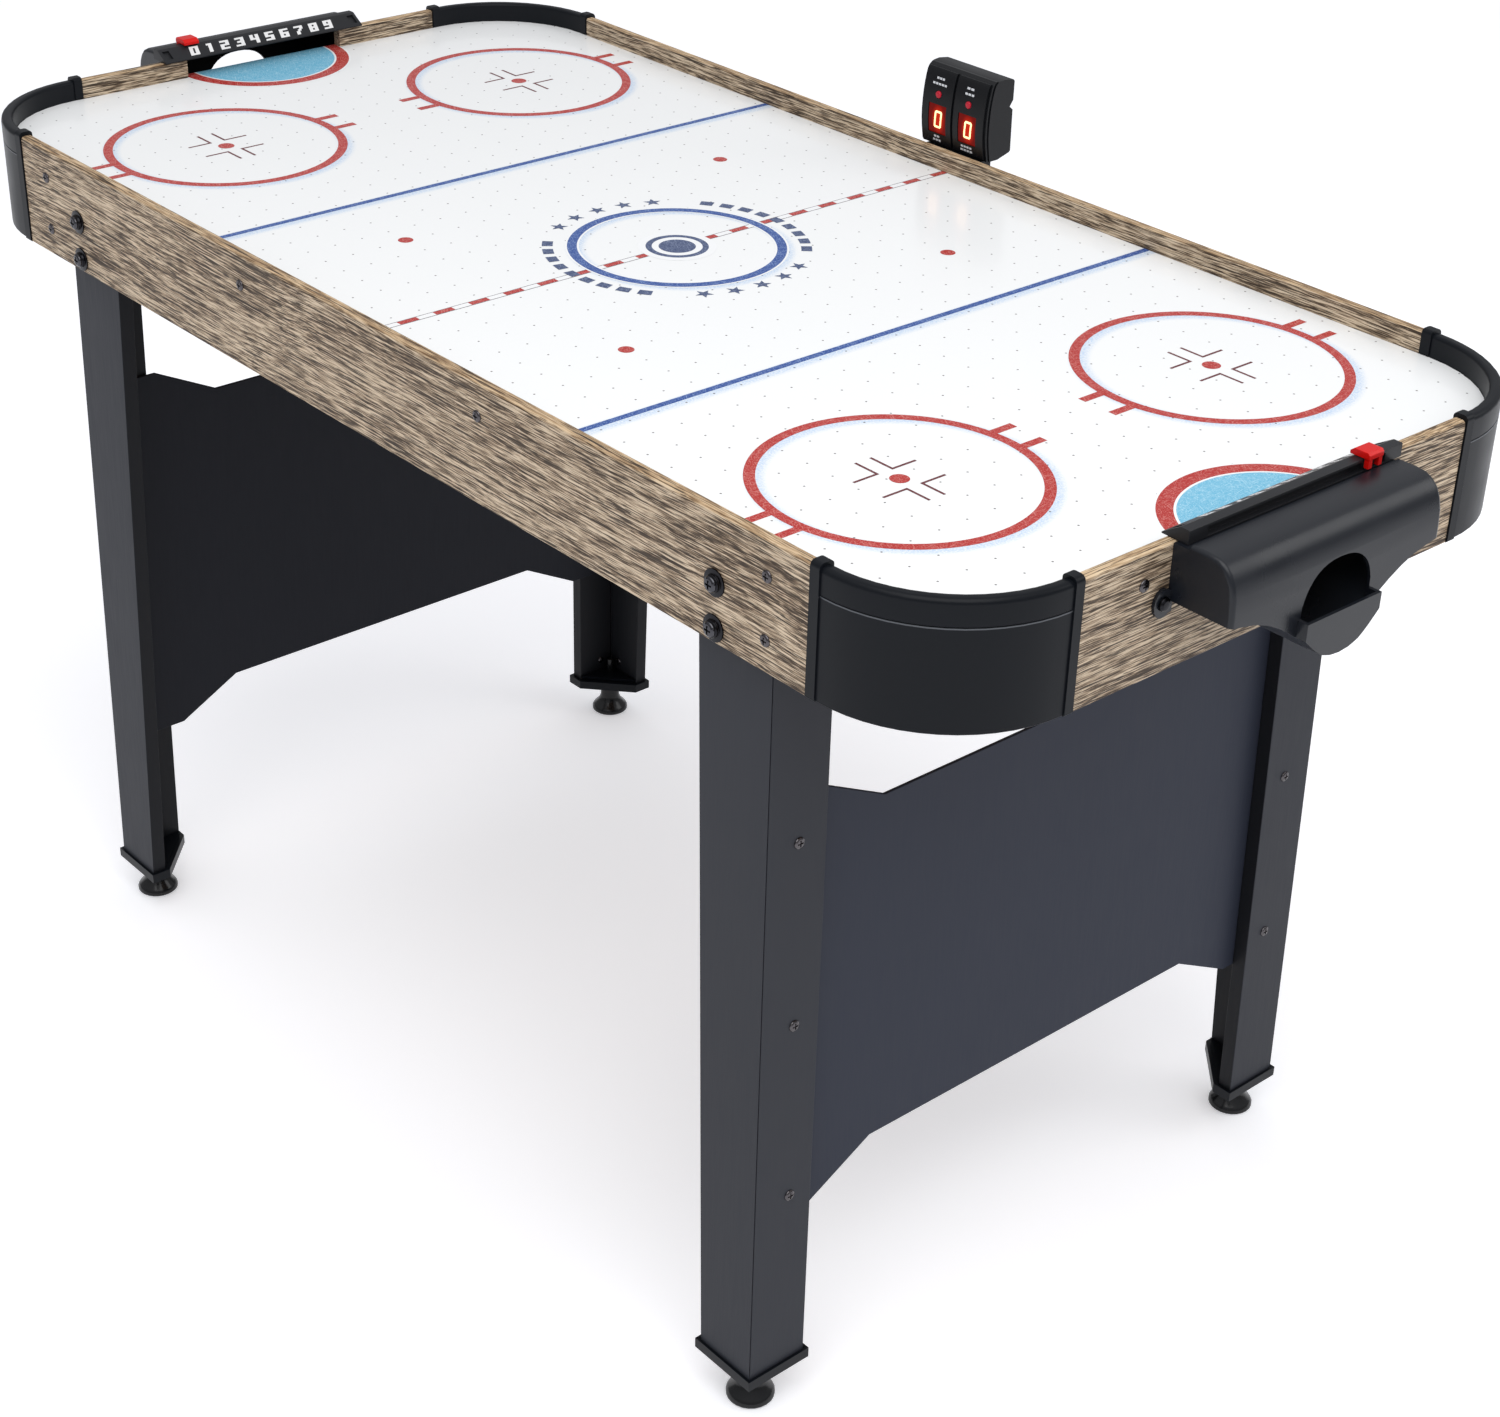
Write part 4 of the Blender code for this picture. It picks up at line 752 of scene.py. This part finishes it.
def cross_head(name, radius, height):
    """Pan head with a cross recess, its seat at the origin and its top towards +Z."""
    bm = bmesh.new()
    profile = ((1, 0), (1, 0.25), (0.93, 0.55), (0.72, 0.85), (0.40, 0.98), (0, 1))
    verts = [bm.verts.new((radius * r, 0, height * z)) for r, z in profile]
    edges = [bm.edges.new(pair) for pair in zip(verts, verts[1:])]
    bmesh.ops.spin(bm, geom=verts + edges, axis=(0, 0, 1), cent=(0, 0, 0), angle=2 * math.pi, steps=28)
    bmesh.ops.remove_doubles(bm, verts=bm.verts, dist=1e-6)
    bmesh.ops.holes_fill(bm, edges=bm.edges)
    bmesh.ops.recalc_face_normals(bm, faces=bm.faces)
    mesh = bpy.data.meshes.new(name)
    bm.to_mesh(mesh)
    bm.free()
    head = bpy.data.objects.new(name, mesh)
    bpy.context.scene.collection.objects.link(head)
    cutters = []
    for size in ((radius * 1.15, radius * 0.26), (radius * 0.26, radius * 1.15)):
        cutter = bmesh.new()
        bmesh.ops.create_cube(cutter, size=1.0, matrix=Matrix.Translation((0, 0, height)) @ Matrix.Diagonal(
            (*size, height * 1.1, 1)))
        cut_mesh = bpy.data.meshes.new("cutter")
        cutter.to_mesh(cut_mesh)
        cutter.free()
        obj = bpy.data.objects.new("cutter", cut_mesh)
        bpy.context.scene.collection.objects.link(obj)
        boolean = head.modifiers.new("recess", "BOOLEAN")
        boolean.operation = "DIFFERENCE"
        boolean.object = obj
        cutters.append(obj)
    made = bpy.data.meshes.new_from_object(head.evaluated_get(bpy.context.evaluated_depsgraph_get()))
    for obj in cutters + [head]:
        bpy.data.objects.remove(obj)
    return made


def set_screw(name, mesh, place, direction):
    """One head on the table's body, its top towards that direction."""
    obj = bpy.data.objects.new(name, mesh)
    bpy.context.scene.collection.objects.link(obj)
    turn = Vector(direction).to_track_quat("Z", "Y").to_matrix().to_4x4()
    obj.matrix_world = Matrix.Translation(place) @ turn
    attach(obj, "table")


def seat(hit, origin, direction):
    """The point hit, and the normal there on the side the ray came from."""
    place, normal = hit(origin, direction)
    if normal.dot(Vector(direction)) > 0:
        normal = -normal
    return place, normal


def make_screws():
    """Small screws of the rails and of the legs' end boards."""
    small = cross_head("screw_head", *SCREW_HEAD)
    small.materials.append(LOOKS["screw"])
    for end, sy in (("near", -1), ("far", 1)):
        hit = surface_of("side_rail_" + end)
        places = [(sx * x, z) for x, z in RAIL_SCREWS for sx in (-1, 1)]
        for k, (x, z) in enumerate(places):
            place, normal = seat(hit, at(x, sy * SIDE_OUT, z), (0, -sy, 0))
            set_screw(f"rail_screw_{end}_{k + 1}", small, place, normal)
    for tag, sx in (("left", -1), ("right", 1)):
        hit = surface_of("end_rail_" + tag)
        for side, sy in (("near", -1), ("far", 1)):
            origin = at(sx * END_OUT, sy * END_RAIL_SCREW[0], END_RAIL_SCREW[1])
            place, normal = seat(hit, origin, (-sx, 0, 0))
            set_screw(f"end_rail_screw_{tag}_{side}", small, place, normal)
            leg = surface_of(f"leg_end_board_{tag}_{side}")
            for k, z in enumerate(LEG_SCREW_Z):
                place, normal = seat(leg, at(sx * END_OUT, sy * LEG_SCREW_Y, z), (-sx, 0, 0))
                set_screw(f"leg_screw_{tag}_{side}_{k + 1}", small, place, normal)


def make_cap_screws():
    """Two screws inside the foot of each leg, one on each board."""
    small = cross_head("cap_screw_head", *CAP_SCREW_HEAD)
    small.materials.append(LOOKS["screw"])
    for tag, sx in (("left", -1), ("right", 1)):
        for side, sy in (("near", -1), ("far", 1)):
            foot = (sx * CAP_SCREW[0], sy * CAP_SCREW[1], CAP_SCREW[2])
            for board, way in (("side", (0, sy, 0)), ("end", (sx, 0, 0))):
                hit = surface_of(f"leg_{board}_board_{tag}_{side}")
                place, normal = seat(hit, at(*foot), way)
                set_screw(f"cap_screw_{board}_{tag}_{side}", small, place, normal)


def make_bolt_drives():
    """Domed cross-recessed middles of the leg bolts."""
    dome = cross_head("bolt_dome", *BOLT_DOME)
    dome.materials.append(LOOKS["drive"])
    for name in sorted(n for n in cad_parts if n.startswith("leg_bolt")):
        low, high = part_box(name)
        outward = -1 if "near" in name else 1
        middle = (low + high) / 2
        tip = low.y if outward < 0 else high.y
        place = Vector((middle.x, tip - outward * DOME_SUNK, middle.z))
        set_screw(name + "_drive", dome, place, (0, outward, 0))


# ---------------------------------------------------------------- studio
SKY = (0.28, 0.80)             # brightness at the horizon and overhead
FLOOR_GLOW = 0.33
FLOOR_HALF = 9
LAMPS = (("key", (1.3, -1.1, 3.2), 2.6, 48), ("back", (2.1, 2.3, 2.4), 1.6, 14))     # place, size, power


def make_studio():
    """Flat white floor, two soft lamps, and a sky that is bright overhead and dimmer at the horizon."""
    floor_mesh = bpy.data.meshes.new("floor")
    corners = [(sx * FLOOR_HALF, sy * FLOOR_HALF, 0) for sx, sy in ((-1, -1), (1, -1), (1, 1), (-1, 1))]
    floor_mesh.from_pydata(corners, [], [(0, 1, 2, 3)])
    floor = bpy.data.objects.new("floor", floor_mesh)
    bpy.context.scene.collection.objects.link(floor)
    look = Look("studio_floor", tone(250, 250, 251), 0.8, gloss=0.1)
    look.colour(look.mix(look.noise(look.place, 2.0), tone(249, 249, 250), tone(251, 251, 252)))
    look.shader.inputs["Emission Color"].default_value = tone(250, 251, 255)
    look.shader.inputs["Emission Strength"].default_value = FLOOR_GLOW
    floor_mesh.materials.append(look.mat)

    world = bpy.data.worlds.new("studio")
    world.use_nodes = True
    nodes, links = world.node_tree.nodes, world.node_tree.links
    split = nodes.new("ShaderNodeSeparateXYZ")
    links.new(nodes.new("ShaderNodeTexCoord").outputs["Generated"], split.inputs[0])
    fade = nodes.new("ShaderNodeMapRange")
    links.new(split.outputs["Z"], fade.inputs["Value"])
    for key, number in (("From Min", 0.0), ("From Max", 0.75), ("To Min", SKY[0]), ("To Max", SKY[1])):
        fade.inputs[key].default_value = number
    background = nodes["Background"]
    background.inputs["Color"].default_value = tone(250, 251, 255)
    links.new(fade.outputs["Result"], background.inputs["Strength"])
    bpy.context.scene.world = world
    for name, place, size, energy in LAMPS:
        lamp = bpy.data.lights.new(name, "AREA")
        lamp.size = size
        lamp.energy = energy
        obj = bpy.data.objects.new(name, lamp)
        bpy.context.scene.collection.objects.link(obj)
        obj.location = place
        obj.rotation_euler = (Vector((0, 0, 0.6)) - Vector(place)).to_track_quat("-Z", "Y").to_euler()


def make_camera():
    data = bpy.data.cameras.new("camera")
    data.lens = CAMERA_LENS
    data.sensor_width = CAMERA_SENSOR
    camera = bpy.data.objects.new("camera", data)
    bpy.context.scene.collection.objects.link(camera)
    camera.location = CAMERA_AT
    camera.rotation_euler = [math.radians(a) for a in CAMERA_TURN]
    data.clip_end = 60
    bpy.context.scene.camera = camera


bpy.context.scene.view_settings.view_transform = "Standard"
make_camera()
dress_frame()
make_prints()
make_numerals()
make_digits()
make_labels()
make_screws()
make_bolt_drives()
make_cap_screws()
make_studio()
